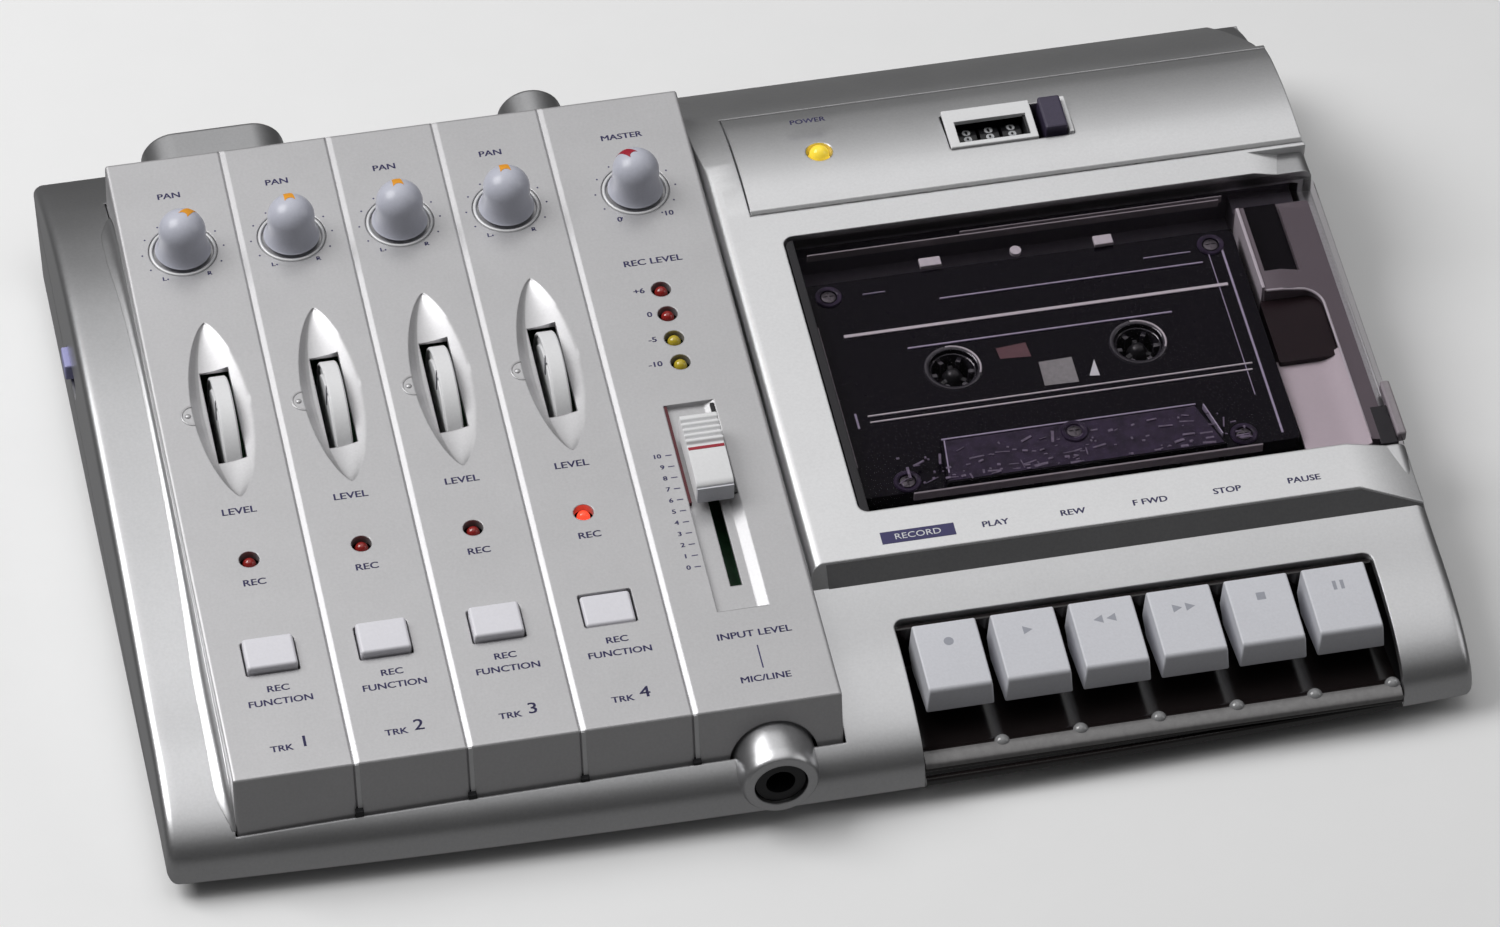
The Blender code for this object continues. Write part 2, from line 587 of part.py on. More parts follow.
# ------------------------------------------------------------------ deck cover and counter
def make_deck_cover():
    seat = COVER_SEAT_Z + GAP
    front = panel_yz(SEAM_V, DECK_W)[0] + GAP
    outline = [(front, seat), (front, 34.9), (front + 1.4, 35.8), (58.0, 36.6), (67.0, 36.5), (75.0, 35.6),
               (COVER_END_Y - 0.6, 34.0), (COVER_END_Y - 0.1, 33.3), (COVER_END_Y - 0.1, seat)]
    cover = prism("deck_cover", outline, COVER_LEFT, HALF_WIDTH - 1.6, "silver")
    recess = box("counter_recess", (62.0, 153.2, -12), (91.4, 165.4, 20))
    led = cylinder("cover_led_hole", (32.6, 158.6, -12), 3.0, 30, sides=24)
    return cut(cover, recess, led)


def make_counter():
    v, w = 159.4, -9.2
    housing = box("counter_housing", (62.6, 153.8, -18.0), (82.4, 164.8, -2.6), "black")
    window = box("counter_window", (64.4, 155.0, -16.8), (80.6, 163.6, 5))
    cut(housing, window)
    for number, name in enumerate(("hundreds", "tens", "units")):
        x = 65.2 + number * 5.2
        cylinder(f"counter_wheel_{name}", (x, v, w), 4.0, 4.4, "X", "black", sides=20, origin=(x, v, w))
    box("reset_button", (84.6, 154.4, -9.0), (89.8, 164.2, -0.4), "black", bevel=0.5)


# ------------------------------------------------------------------ door, cassette and transport
def make_door():
    left, right = DOOR_LEFT + 0.4, HALF_WIDTH - 0.9
    front, rear = DOOR_FRONT_V + 0.4, DOOR_REAR_V - 0.8
    door = box("cassette_door", (left, front, DECK_W - DOOR_RIM), (right, rear, DECK_W + 1), "smoke")
    flat = box("door_flat", (-50, 0, DECK_W), (300, 300, 60))
    inner = box("door_inner", (left + DOOR_PLATE, front + DOOR_PLATE, DECK_W - 30),
                (right - 1.6, rear - DOOR_PLATE, DECK_W - DOOR_PLATE))
    cut(inner, crease_cutter("door_inner_crease", DOOR_PLATE))
    tab = box("door_tab", (right - 3.0, front + 8, DECK_W - 7.0), (HALF_WIDTH + 0.7, front + 24, DECK_W - 3.9),
              bevel=0.4)
    cut(door, flat, crease_cutter("door_crease", 0.0), inner)
    return add(door, tab)


def make_cassette():
    width, length, height = CASSETTE_SIZE
    low_x = HUB_X - width / 2
    top = CASSETTE_TOP_W
    front = CASSETTE_FRONT_V
    shell = box("cassette_shell", (low_x, front, top - height), (low_x + width, front + length, top), "shell",
                bevel=0.5, segments=1)
    thick = slab("cassette_step", [(HUB_X - 36, front), (HUB_X + 36, front), (HUB_X + 32, front + 17),
                                   (HUB_X - 32, front + 17)], top - 3, top + 1.6)
    add(shell, thick)
    cut(shell, box("cassette_inside", (low_x + 1.5, front + 1.5, top - height + 1.2),
                   (low_x + width - 1.5, front + length - 1.5, top - 1.2)))
    for number, (x, half) in enumerate(((HUB_X, 8.5), (HUB_X - 24.0, 7.0), (CAPSTAN[0], 7.5)), 1):
        cut(shell, box(f"cassette_window_{number}", (x - half, front - 5, top - 20), (x + half, front + 8, top - 0.9)))
    for side in (-1, 1):
        x = HUB_X + side * HUB_SPACING / 2
        cut(shell, cylinder(f"hub_hole_{side + 1}", (x, HUB_V, -40), 5.4, 60, sides=28))
    for name, radius, side in (("supply_tape", 23.0, -1), ("takeup_tape", 13.0, 1)):
        x = HUB_X + side * HUB_SPACING / 2
        pack = cylinder(name, (x, HUB_V, top - height + 1.7), radius, height - 3.4, finish="tape", sides=36,
                        origin=(x, HUB_V, 0))
        cut(pack, cylinder(f"{name}_bore", (x, HUB_V, -40), 4.7, 60, sides=20))


def make_spindles():
    """Each spindle has a flange under the chassis plate, a shaft and three drive fins inside the tape hub."""
    plate_bottom = CHASSIS_TOP_W - CHASSIS_PLATE
    for name, side in (("supply_spindle", -1), ("takeup_spindle", 1)):
        x = HUB_X + side * HUB_SPACING / 2
        spindle = turned(name, [(0.0, CASSETTE_TOP_W - 0.9), (1.6, CASSETTE_TOP_W - 0.9), (2.6, CASSETTE_TOP_W - 3.0),
                                (2.6, plate_bottom - 0.4), (4.2, plate_bottom - 0.4), (4.2, plate_bottom - 1.2),
                                (0.0, plate_bottom - 1.2)], (x, HUB_V, 0), "white", steps=24)
        for turn in range(3):
            fin = box(f"{name}_fin_{turn}", (-0.6, 1.5, CASSETTE_TOP_W - 7.6), (0.6, 4.2, CASSETTE_TOP_W - 3.0))
            fin.matrix_world = fin.matrix_world @ Matrix.Translation(Vector((x, HUB_V, 0)) * MM) \
                @ Matrix.Rotation(turn * math.tau / 3, 4, "Z")
            add(spindle, fin)


def make_chassis():
    low, high = CHASSIS_TOP_W - CHASSIS_PLATE, CHASSIS_TOP_W
    chassis = box("transport_chassis", (15.0, 47.0, low), (138.0, 138.0, high), "chassis")
    walls = [box("well_left", (15.0, 47.0, low), (16.6, 138.0, DECK_W - 6.2)),
             box("well_right", (123.5, 58.0, low), (125.1, 138.0, DECK_W - 9.0)),
             box("well_shelf", (123.5, 58.0, DECK_W - 10.4), (138.0, 138.0, DECK_W - 9.0)),
             box("well_rear", (15.0, 136.4, low), (138.0, 138.0, DECK_W - 6.2))]
    add(chassis, *walls)
    post = CASSETTE_TOP_W - CASSETTE_SIZE[2] - GAP - high
    for number, (x, v) in enumerate(((26, 68), (26, 118), (115, 68), (115, 118)), 1):
        add(chassis, cylinder(f"cassette_post_{number}", (x, v, high - 0.4), 2.0, post + 0.4, sides=12))
    hubs = [(HUB_X + side * HUB_SPACING / 2, HUB_V, 3.4) for side in (-1, 1)]
    for number, (x, v, radius) in enumerate((*hubs, (*CAPSTAN, 2.0)), 1):
        cut(chassis, cylinder(f"chassis_hole_{number}", (x, v, low - 3), radius, 8, sides=20))
    cut(chassis, box("shelf_window_front", (127, 72, DECK_W - 14), (136, 92, 5)),
        box("shelf_window_rear", (127, 102, DECK_W - 14), (136, 132, 5)))
    return chassis


def belt_outline(first, first_radius, second, second_radius, steps=14):
    """The taut outline around two circles: an arc on each and the two tangents that join them."""
    along = Vector(second) - Vector(first)
    heading = math.atan2(along.y, along.x)
    lean = math.acos((first_radius - second_radius) / along.length)
    points = []
    for centre, radius, start, end in ((first, first_radius, lean, math.tau - lean),
                                       (second, second_radius, -lean, lean)):
        for index in range(steps + 1):
            angle = heading + start + (end - start) * index / steps
            points.append((centre[0] + radius * math.cos(angle), centre[1] + radius * math.sin(angle)))
    return points


def make_drive():
    """Motor and pulley behind the chassis, the flywheel with the capstan, and the belt around the two."""
    plate_bottom = CHASSIS_TOP_W - CHASSIS_PLATE
    belt_low = plate_bottom - 2.6
    cylinder("motor", (*MOTOR, belt_low + 1.8), 12.0, 9.6, finish="steel", sides=28)
    turned("motor_pulley", [(0, belt_low + 1.4), (PULLEY_RADIUS, belt_low + 1.4), (PULLEY_RADIUS, belt_low - 0.4),
                            (0, belt_low - 0.4)], (*MOTOR, 0), "brass", steps=20)
    turned("flywheel", [(0, CASSETTE_TOP_W - 1.4), (1.2, CASSETTE_TOP_W - 1.4), (1.2, plate_bottom - 0.6),
                        (FLYWHEEL_RADIUS, plate_bottom - 0.6), (FLYWHEEL_RADIUS, plate_bottom - 2.8),
                        (0, plate_bottom - 2.8)], (*CAPSTAN, 0), "steel", steps=36)
    outer = belt_outline(MOTOR, PULLEY_RADIUS + GAP + 1.0, CAPSTAN, FLYWHEEL_RADIUS + GAP + 1.0)
    inner = belt_outline(MOTOR, PULLEY_RADIUS + GAP, CAPSTAN, FLYWHEEL_RADIUS + GAP)
    belt = slab("drive_belt", outer, belt_low, belt_low + 1.0, "rubber")
    return cut(belt, slab("belt_inside", inner, belt_low - 1, belt_low + 2))


def make_heads():
    low = CHASSIS_TOP_W + 0.4
    carriage = box("head_carriage", (38.0, 49.6, low), (106.0, 58.9, low + 1.2), "steel")
    base = low + 1.2 + GAP
    record = box("record_head", (HUB_X - 6.5, 52.0, base), (HUB_X + 6.5, 58.4, base + 6.4), "steel", bevel=0.6)
    cut(record, box("head_gap", (HUB_X - 0.3, 57.9, base + 1), (HUB_X + 0.3, 60, base + 5.4)))
    erase = HUB_X - 24.0
    box("erase_head", (erase - 4.5, 52.6, base), (erase + 4.5, 58.4, base + 6.4), "chassis", bevel=0.6)
    turned("pinch_roller", [(0, base + 6.0), (4.5, base + 6.0), (4.5, base), (0, base)],
           (CAPSTAN[0], PINCH_V, 0), "rubber", steps=28)
    return carriage


# ------------------------------------------------------------------ keys
def make_key(name, x):
    """A key cap with its lever, which turns about the key shaft behind it."""
    cap = prism(name, [(-92.3, 11.2), (-91.9, 18.6), (-91.0, 19.5), (-74.6, 21.8), (-73.8, 21.2), (-73.8, 14.4),
                       (-78.0, 11.6)], x - KEY_WIDTH / 2, x + KEY_WIDTH / 2, "knob", bevel=0.5)
    lever = prism(f"{name}_lever", [(-76.0, 13.6), (-76.0, 17.6), (KEY_AXIS_Y, KEY_AXIS_Z + 2.6),
                                    (KEY_AXIS_Y, KEY_AXIS_Z - 2.6)], x - 3, x + 3)
    ring = cylinder(f"{name}_ring", (x - 3, KEY_AXIS_Y, KEY_AXIS_Z), 3.2, 6.0, "X", frame=WORLD, sides=20)
    bore = cylinder(f"{name}_bore", (x - 8, KEY_AXIS_Y, KEY_AXIS_Z), 1.75, 16.0, "X", frame=WORLD, sides=20)
    add(cap, lever, ring)
    return cut(cap, bore)


def make_keys():
    for number, name in enumerate(KEY_NAMES):
        make_key(f"key_{name}", KEY_FIRST_X + number * KEY_PITCH)
    cylinder("key_shaft", (POCKET[0], KEY_AXIS_Y, KEY_AXIS_Z), 1.4, POCKET[1] - POCKET[0], "X", "steel", WORLD,
             sides=20)


def make_key_well():
    """The dark liner under the keys: a floor with a bumped front edge and a slotted back wall."""
    low, high = POCKET[0] + GAP, POCKET[1] - GAP
    well = prism("key_well", [(-103.6, 6.35), (-103.6, 7.0), (-101.2, 8.4), (-98.6, 8.4), (-95.5, 7.3), (-72.6, 7.3),
                              (-72.6, 19.2), (-71.3, 19.2), (-71.3, 6.35)], low, high, "black")
    for number in range(KEY_COUNT):
        x = KEY_FIRST_X + number * KEY_PITCH
        cut(well, box(f"lever_slot_{number}", (x - 4, -76, 8.6), (x + 4, -68, 17.9), frame=WORLD))
    return well


def build():
    make_top_case()
    make_bottom_case()
    make_feet()
    make_mixer_panel()
    make_knobs()
    make_level_wheels()
    make_rec_buttons()
    make_fader()
    make_boards()
    make_jacks()
    make_power_slider()
    make_deck_cover()
    make_counter()
    make_door()
    make_cassette()
    make_spindles()
    make_chassis()
    make_drive()
    make_heads()
    make_keys()
    make_key_well()


build()
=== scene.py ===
"""Looks of the portable four-track cassette recorder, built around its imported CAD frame.

Lengths are in millimetres and become metres where a mesh is made. Panel coordinates (x, v, w) follow the
mixer panel: v runs up its slope from the front edge, and w is the height over its top face.
"""
import math
import random

import bmesh
import bpy
from mathutils import Matrix, Vector


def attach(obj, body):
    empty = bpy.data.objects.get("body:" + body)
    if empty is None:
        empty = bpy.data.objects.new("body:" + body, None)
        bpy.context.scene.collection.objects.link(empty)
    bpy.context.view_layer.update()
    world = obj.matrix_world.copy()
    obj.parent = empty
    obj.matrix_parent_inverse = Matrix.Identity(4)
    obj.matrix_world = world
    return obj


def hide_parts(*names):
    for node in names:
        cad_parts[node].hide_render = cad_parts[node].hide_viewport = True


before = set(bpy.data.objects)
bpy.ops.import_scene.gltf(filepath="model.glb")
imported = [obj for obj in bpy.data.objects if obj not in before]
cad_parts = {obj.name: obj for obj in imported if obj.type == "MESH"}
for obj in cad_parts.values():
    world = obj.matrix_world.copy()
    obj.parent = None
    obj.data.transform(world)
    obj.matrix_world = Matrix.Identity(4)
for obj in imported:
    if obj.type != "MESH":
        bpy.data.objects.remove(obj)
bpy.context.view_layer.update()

MM = 0.001
WORLD = Matrix.Identity(4)
SCENE = bpy.context.scene

# ---- driving dimensions, in the CAD model's frame ----
TILT = math.radians(4.8)
PANEL = Matrix.Translation((0, -95.2, 26.2)) @ Matrix.Rotation(TILT, 4, "X")
FRONT_FACE = Matrix(((1, 0, 0, 0), (0, 0.208, -0.978, -98.3), (0, 0.978, 0.208, 11.6), (0, 0, 0, 1)))
PANEL_LENGTH = 181.0
PANEL_WALL = 2.2
HALF_WIDTH = 143.5
HALF_DEPTH = 105.9
CASE_BOTTOM = 4.0
WALL = 2.4
FRONT_BOW = 3.6
CASE_ARCH = ((-99.7, 11.0), (-97.2, 13.3), (-92.8, 15.7), (-86.6, 17.9), (-78.0, 19.8), (-63.0, 21.6),
             (-42.0, 25.2), (-20.0, 28.3), (4.0, 30.8), (28.0, 32.6), (52.0, 32.9), (72.0, 30.9),
             (86.0, 27.7), (97.0, 23.8))
CASE_SPAN_STEPS = 5
CASE_STATIONS = 40
CASE_EDGE = 2.2
SIDE_DRAFT = 1.3
DRAFT_HEIGHT = 30
UNDERCUT_START = 89.8
REAR_EDGE_LOW = 17.3
REAR_EDGE_TOP = 19.5
PANEL_LEFT = -128.0
PANEL_RIGHT = 3.8
STRIP_EDGES = (-101.5, -77.1, -52.7, -28.3)
COLUMNS = (-114.6, -90.0, -65.4, -41.0)
MASTER_X = -11.4
KNOB_V = 152.0
KNOB_SIZE = (5.3, 6.3, 11.2, 4.8)
WHEEL_V = 103.0
WHEEL_OFFSET = 1.2
WHEEL_WIDTH = 3.8
WHEEL_RADIUS = 15.5
SLOT = (6.4, 26.8)
SCOOP = (13.4, 51.6)
SCOOP_DEPTH = 1.9
REC_LED_V = 60.0
REC_BUTTON_V = 32.4
REC_BUTTON = (11.0, 8.6)
LEVEL_LED_X = -11.6
LEVEL_LED_V = (99.1, 106.3, 113.7, 121.2)
LED_HOLE_RADIUS = 2.25
POWER_LED = (32.6, 158.6)
FADER_X = -12.2
FADER_V = 68.0
FADER_CAP = (8.4, 21.0)
FADER_SCALE_V = 72.7
FADER_SCALE_STEP = 3.24
DECK_LEFT = 4.9
DECK_W = -3.0
DECK_FRONT_V = 38.8
STEP_DROP = 6.4
SHOULDER = 3.2
SEAM_V = 141.8
COVER_LEFT = 13.4
COVER_END_Y = 81.4
COVER_SEAT_Z = 31.6
COUNTER_WHEELS = (67.4, 5.2, 159.4, -9.2)
DOOR = (18.8, 51.4, 134.3)
CREASE_X = 128.5
CREASE_SLOPE = 0.27
KEY_PITCH = 17.4
KEY_WIDTH = 15.1
KEY_FIRST_X = 30.75
KEY_SHOULDER_Z = 18.0
KEY_TAPER = 0.93
KEY_SYMBOLS = {"record": "circle", "play": "right", "rewind": "left left", "fast_forward": "right right",
               "stop": "square", "pause": "bar bar"}
KEY_X = [KEY_FIRST_X + number * KEY_PITCH for number in range(len(KEY_SYMBOLS))]
KEY_SHAFT = (-53.5, 14.6)
POCKET = (20.2, 127.4)
POCKET_BACK_Y = -70.8
HUB_X = 70.7
HUB_V = 93.4
HUB_SPACING = 42.5
HUBS = (HUB_X - HUB_SPACING / 2, HUB_X + HUB_SPACING / 2)
CASSETTE = (100.4, 63.8, 8.7)
CASSETTE_TOP_W = DECK_W - 5.3
CASSETTE_LEFT = HUB_X - CASSETTE[0] / 2
CASSETTE_FRONT = HUB_V - 34.0
CASSETTE_SCREWS = ((32.2, 62.6, 0.0), (108.6, 62.6, 0.0), (115.0, 119.2, 0.0), (26.5, 119.2, 0.0),
                   (71.4, 68.9, 1.6))
BRIDGE_RECESS = (131.8, 97.2, 4.2)
FRONT_JACK = (-11.6, 11.9, 9.7)
REAR_JACKS = {"line_out_jack_left": (-110.0, 23.6), "line_out_jack_right": (-92.4, 23.6),
              "phones_jack": (-27.2, 22.6)}
REAR_BOSSES = {"line_out": (-110.0, 17.6, 23.6, 7.8), "phones": (-27.2, 0.0, 22.6, 7.6)}
BORE_RADIUS = 5.9

# ---- surfaces and room ----
BROAD_RATIO = 22
FINE_SHARE = 0.7
BROAD_SHARE = 0.3
GRAIN_RANGE = (0.25, 0.75)
ROUGHNESS_SWING = 0.12
RELIEF_DEPTH = 0.0002
COAT_ROUGHNESS = 0.15
ROOM_LEVELS = ((0.0, 0.18), (0.35, 0.17), (0.46, 0.05), (0.72, 0.06), (0.86, 0.15), (0.90, 0.24),
               (0.945, 0.52), (0.98, 0.95), (1.0, 1.0))


def panel_yz(v, w):
    point = PANEL @ Vector((0, v, w))
    return point.y, point.z


def on_panel(x, v, w=0.02):
    return PANEL @ Matrix.Translation((x, v, w))


def spaced(low, high, steps):
    """Evenly spaced numbers from low to high."""
    return [low + (high - low) * i / steps for i in range(steps + 1)]


def angles(low, high, steps):
    """Evenly spaced angles, given in degrees and returned in radians."""
    return [math.radians(angle) for angle in spaced(low, high, steps)]


# ------------------------------------------------------------------ materials
def node(tree, kind, **inputs):
    made = tree.nodes.new(kind)
    for name, value in inputs.items():
        made.inputs[name.replace("_", " ")].default_value = value
    return made


def grain_noise(tree, scale, stretch):
    """Fine noise, and its blend with a broad one, over the object's own coordinates."""
    place = tree.nodes.new("ShaderNodeTexCoord")
    mapping = node(tree, "ShaderNodeMapping", Scale=stretch)
    tree.links.new(place.outputs["Object"], mapping.inputs["Vector"])
    fine = node(tree, "ShaderNodeTexNoise", Scale=scale, Detail=3.0, Roughness=0.6)
    broad = node(tree, "ShaderNodeTexNoise", Scale=scale / BROAD_RATIO, Detail=2.0)
    for texture in (fine, broad):
        tree.links.new(mapping.outputs["Vector"], texture.inputs["Vector"])
    share = node(tree, "ShaderNodeMath")
    share.operation = "MULTIPLY"
    share.inputs[1].default_value = BROAD_SHARE
    tree.links.new(broad.outputs["Fac"], share.inputs[0])
    blend = node(tree, "ShaderNodeMath")
    blend.operation = "MULTIPLY_ADD"
    blend.inputs[1].default_value = FINE_SHARE
    tree.links.new(fine.outputs["Fac"], blend.inputs[0])
    tree.links.new(share.outputs[0], blend.inputs[2])
    return fine.outputs["Fac"], blend.outputs[0]


def colour_spread(tree, blend, colour, spread):
    """The colour, darker and lighter by the share spread as the grain runs."""
    ramp = tree.nodes.new("ShaderNodeValToRGB")
    dark, light = ramp.color_ramp.elements
    dark.position, light.position = GRAIN_RANGE
    dark.color = (*(max(0.0, channel * (1 - spread)) for channel in colour), 1)
    light.color = (*(min(1.0, channel * (1 + spread)) for channel in colour), 1)
    tree.links.new(blend, ramp.inputs["Fac"])
    return ramp.outputs["Color"]


def material(name, colour, roughness=0.4, metallic=0.0, coat=0.0, grain=(900.0, 0.04), bump=0.02,
             edge=0.0, specular=0.5, emission=None, stretch=(1.0, 1.0, 1.0)):
    """A moulded or painted surface with fine grain in its colour, roughness and height.

    grain is the noise's scale and its share of the colour, edge the radius of rounded edges in
    millimetres, and emission a colour with its strength.
    """
    made = bpy.data.materials.new(name)
    made.use_nodes = True
    tree = made.node_tree
    shader = tree.nodes["Principled BSDF"]
    for setting, value in (("Metallic", metallic), ("Coat Weight", coat), ("Specular IOR Level", specular),
                           ("Coat Roughness", COAT_ROUGHNESS)):
        shader.inputs[setting].default_value = value
    fine, blend = grain_noise(tree, grain[0], stretch)
    tree.links.new(colour_spread(tree, blend, colour, grain[1]), shader.inputs["Base Color"])
    rough = node(tree, "ShaderNodeMapRange")
    rough.inputs["To Min"].default_value = roughness * (1 - ROUGHNESS_SWING)
    rough.inputs["To Max"].default_value = min(1.0, roughness * (1 + ROUGHNESS_SWING))
    tree.links.new(blend, rough.inputs["Value"])
    tree.links.new(rough.outputs["Result"], shader.inputs["Roughness"])
    relief = node(tree, "ShaderNodeBump", Strength=bump, Distance=RELIEF_DEPTH)
    tree.links.new(fine, relief.inputs["Height"])
    if edge:
        rounding = node(tree, "ShaderNodeBevel", Radius=edge * MM)
        rounding.samples = 4
        tree.links.new(rounding.outputs["Normal"], relief.inputs["Normal"])
    tree.links.new(relief.outputs["Normal"], shader.inputs["Normal"])
    if emission:
        shader.inputs["Emission Color"].default_value = (*emission[0], 1)
        shader.inputs["Emission Strength"].default_value = emission[1]
    return made


def clear_plastic(name, tint, amount, roughness=0.06):
    """A clear tinted moulding: a tinted see-through layer under a glossy skin."""
    made = bpy.data.materials.new(name)
    made.use_nodes = True
    tree = made.node_tree
    tree.nodes.remove(tree.nodes["Principled BSDF"])
    output = tree.nodes["Material Output"]
    through = node(tree, "ShaderNodeBsdfTransparent", Color=(*tint, 1))
    skin = node(tree, "ShaderNodeBsdfAnisotropic", Color=(1, 1, 1, 1), Roughness=roughness)
    haze = node(tree, "ShaderNodeBsdfDiffuse", Color=(*(c * 0.5 for c in tint), 1))
    fresnel = node(tree, "ShaderNodeFresnel", IOR=1.035)
    body = node(tree, "ShaderNodeMixShader", Fac=amount)
    layered = tree.nodes.new("ShaderNodeMixShader")
    place = tree.nodes.new("ShaderNodeTexCoord")
    scuff = node(tree, "ShaderNodeTexNoise", Scale=140.0, Detail=4.0)
    relief = node(tree, "ShaderNodeBump", Strength=0.03, Distance=0.0003)
    tree.links.new(place.outputs["Object"], scuff.inputs["Vector"])
    tree.links.new(scuff.outputs["Fac"], relief.inputs["Height"])
    tree.links.new(relief.outputs["Normal"], skin.inputs["Normal"])
    tree.links.new(through.outputs[0], body.inputs[1])
    tree.links.new(haze.outputs[0], body.inputs[2])
    tree.links.new(fresnel.outputs[0], layered.inputs[0])
    tree.links.new(body.outputs[0], layered.inputs[1])
    tree.links.new(skin.outputs[0], layered.inputs[2])
    tree.links.new(layered.outputs[0], output.inputs["Surface"])
    return made


SILVER = material("silver_paint", (0.60, 0.60, 0.61), 0.31, 0.92, grain=(1500, 0.07), bump=0.035, edge=0.5)
DECK_SILVER = material("deck_silver_paint", (0.80, 0.80, 0.81), 0.31, 0.9, grain=(1500, 0.06), bump=0.035,
                       edge=0.5)
# Lighter silver for painted highlights: the lit edges of the grooves and the rings round the knobs.
SILVER_HIGHLIGHT = material("silver_painted_highlight", (0.72, 0.72, 0.73), 0.4, 0.2, grain=(1500, 0.05), bump=0.03)
PANEL_SILVER = material("panel_silver_paint", (0.56, 0.555, 0.565), 0.40, 0.6, grain=(1700, 0.07), bump=0.06,
                        edge=0.4)
# Dark grey of the step strip: partly the band's own colour, partly painted shade of the step's front face.
STEP_GREY_AND_SHADE = material("step_grey_and_painted_shade", (0.125, 0.125, 0.128), 0.5, 0.2, grain=(1500, 0.12), bump=0.10)
BLACK = material("black_plastic", (0.012, 0.012, 0.014), 0.38, grain=(1100, 0.2), bump=0.10, edge=0.3)
GLOSS_BLACK = material("gloss_black_plastic", (0.012, 0.009, 0.009), 0.16, grain=(500, 0.2), bump=0.03,
                       edge=0.3, coat=0.4)
KNOB = material("lilac_grey_plastic", (0.56, 0.57, 0.65), 0.30, grain=(1600, 0.05), bump=0.07)
KEY = material("key_grey_plastic", (0.68, 0.685, 0.73), 0.38, grain=(1600, 0.06), bump=0.10)
WHITE = material("white_plastic", (0.83, 0.83, 0.84), 0.34, grain=(1500, 0.04), bump=0.05, edge=0.3)
BUTTON = material("button_plastic", (0.80, 0.79, 0.84), 0.34, grain=(1500, 0.04), bump=0.05)
LILAC = material("lilac_plastic", (0.36, 0.36, 0.62), 0.4, grain=(1500, 0.08), bump=0.08)
CHASSIS = material("chassis_plastic", (0.17, 0.155, 0.185), 0.42, 0.25, grain=(900, 0.12), bump=0.10,
                   edge=0.3)
# Near-black of the well: black plastic, darkened further as painted shade under the door.
WELL_BLACK_AND_SHADE = material("well_black_and_painted_shade", (0.004, 0.003, 0.005), 0.5, grain=(700, 0.3), bump=0.04, specular=0.1)
PURPLE_BLACK = material("purple_black_plastic", (0.05, 0.04, 0.075), 0.35, grain=(1100, 0.2), bump=0.08)
# Grey for the glossy black bumps: painted reflection.
BUMP_SHEEN_GREY = material("bump_painted_sheen", (0.26, 0.26, 0.265), 0.2, grain=(700, 0.1), bump=0.03, coat=0.6)
# Grey for the glossy black ledge: painted reflection.
LEDGE_SHEEN_GREY = material("ledge_painted_sheen", (0.17, 0.165, 0.165), 0.22, grain=(700, 0.2), bump=0.03, coat=0.5)
DARK_STEEL = material("dark_steel", (0.12, 0.11, 0.12), 0.3, 0.8, grain=(700, 0.15), bump=0.06)
WINDOW_GREY = material("window_grey", (0.27, 0.265, 0.265), 0.5, grain=(1200, 0.2), bump=0.03)
# Brown-black: painted shade in the dark rear of the deck recess.
BROWN_BLACK_SHADE = material("brown_black_painted_shade", (0.016, 0.008, 0.010), 0.4, grain=(700, 0.3), bump=0.04,
                       specular=0.2)
CASSETTE_DARK = material("cassette_dark_plastic", (0.003, 0.002, 0.005), 0.25, grain=(900, 0.3), bump=0.0,
                         specular=0.1)
# Lighter lilac on the cassette's moulded edges: painted highlight.
CASSETTE_EDGE_HIGHLIGHT = material("cassette_edge_painted_highlight", (0.42, 0.37, 0.50), 0.25, grain=(900, 0.2), bump=0.05)
CLUTTER = material("cassette_inner_plastic", (0.16, 0.13, 0.19), 0.3, grain=(900, 0.6), bump=0.05)
# Lighter grey of the door's ribs and tab, partly painted highlight on the ribs' lit edges.
RIB_GREY_AND_HIGHLIGHT = material("door_rib_grey_and_highlight", (0.30, 0.27, 0.29), 0.35, grain=(900, 0.1), bump=0.05)
# Pale colour for painted highlights on edges, ridges, rims and springs seen through the door.
PAINTED_HIGHLIGHT = material("painted_edge_highlight", (0.62, 0.58, 0.61), 0.3, grain=(900, 0.1), bump=0.05)
CASSETTE_VIOLET = material("cassette_violet_plastic", (0.028, 0.019, 0.040), 0.3, grain=(420, 0.9), bump=0.08,
                           specular=0.2)
CASSETTE_GLOSS = material("cassette_gloss_plastic", (0.03, 0.028, 0.035), 0.08, grain=(900, 0.3), bump=0.02,
                          coat=0.5)
TAPE_PINK = material("leader_pink", (0.12, 0.05, 0.06), 0.4, grain=(500, 0.2), bump=0.05)
BRIDGE = material("bridge_plastic", (0.17, 0.145, 0.16), 0.42, grain=(1500, 0.06), bump=0.08)
DECK_FLOOR = material("deck_floor_plastic", (0.60, 0.53, 0.56), 0.42, grain=(1500, 0.06), bump=0.08)
STEEL = material("brushed_steel", (0.55, 0.55, 0.56), 0.26, 1.0, grain=(700, 0.08), bump=0.10,
                 stretch=(1, 12, 1))
BRASS = material("turned_brass", (0.72, 0.52, 0.22), 0.25, 1.0, grain=(800, 0.08), bump=0.08,
                 stretch=(1, 1, 14))
RUBBER = material("black_rubber", (0.018, 0.018, 0.018), 0.75, grain=(900, 0.25), bump=0.2)
BOARD = material("circuit_board", (0.03, 0.12, 0.05), 0.45, grain=(420, 0.35), bump=0.15)
TAPE = material("wound_tape", (0.030, 0.016, 0.012), 0.3, grain=(2600, 0.4), bump=0.12)
INK = material("blue_violet_ink", (0.045, 0.040, 0.13), 0.5, grain=(1800, 0.15), bump=0.03)
DARK_INK = material("dark_ink", (0.05, 0.05, 0.075), 0.5, grain=(1800, 0.15), bump=0.03)
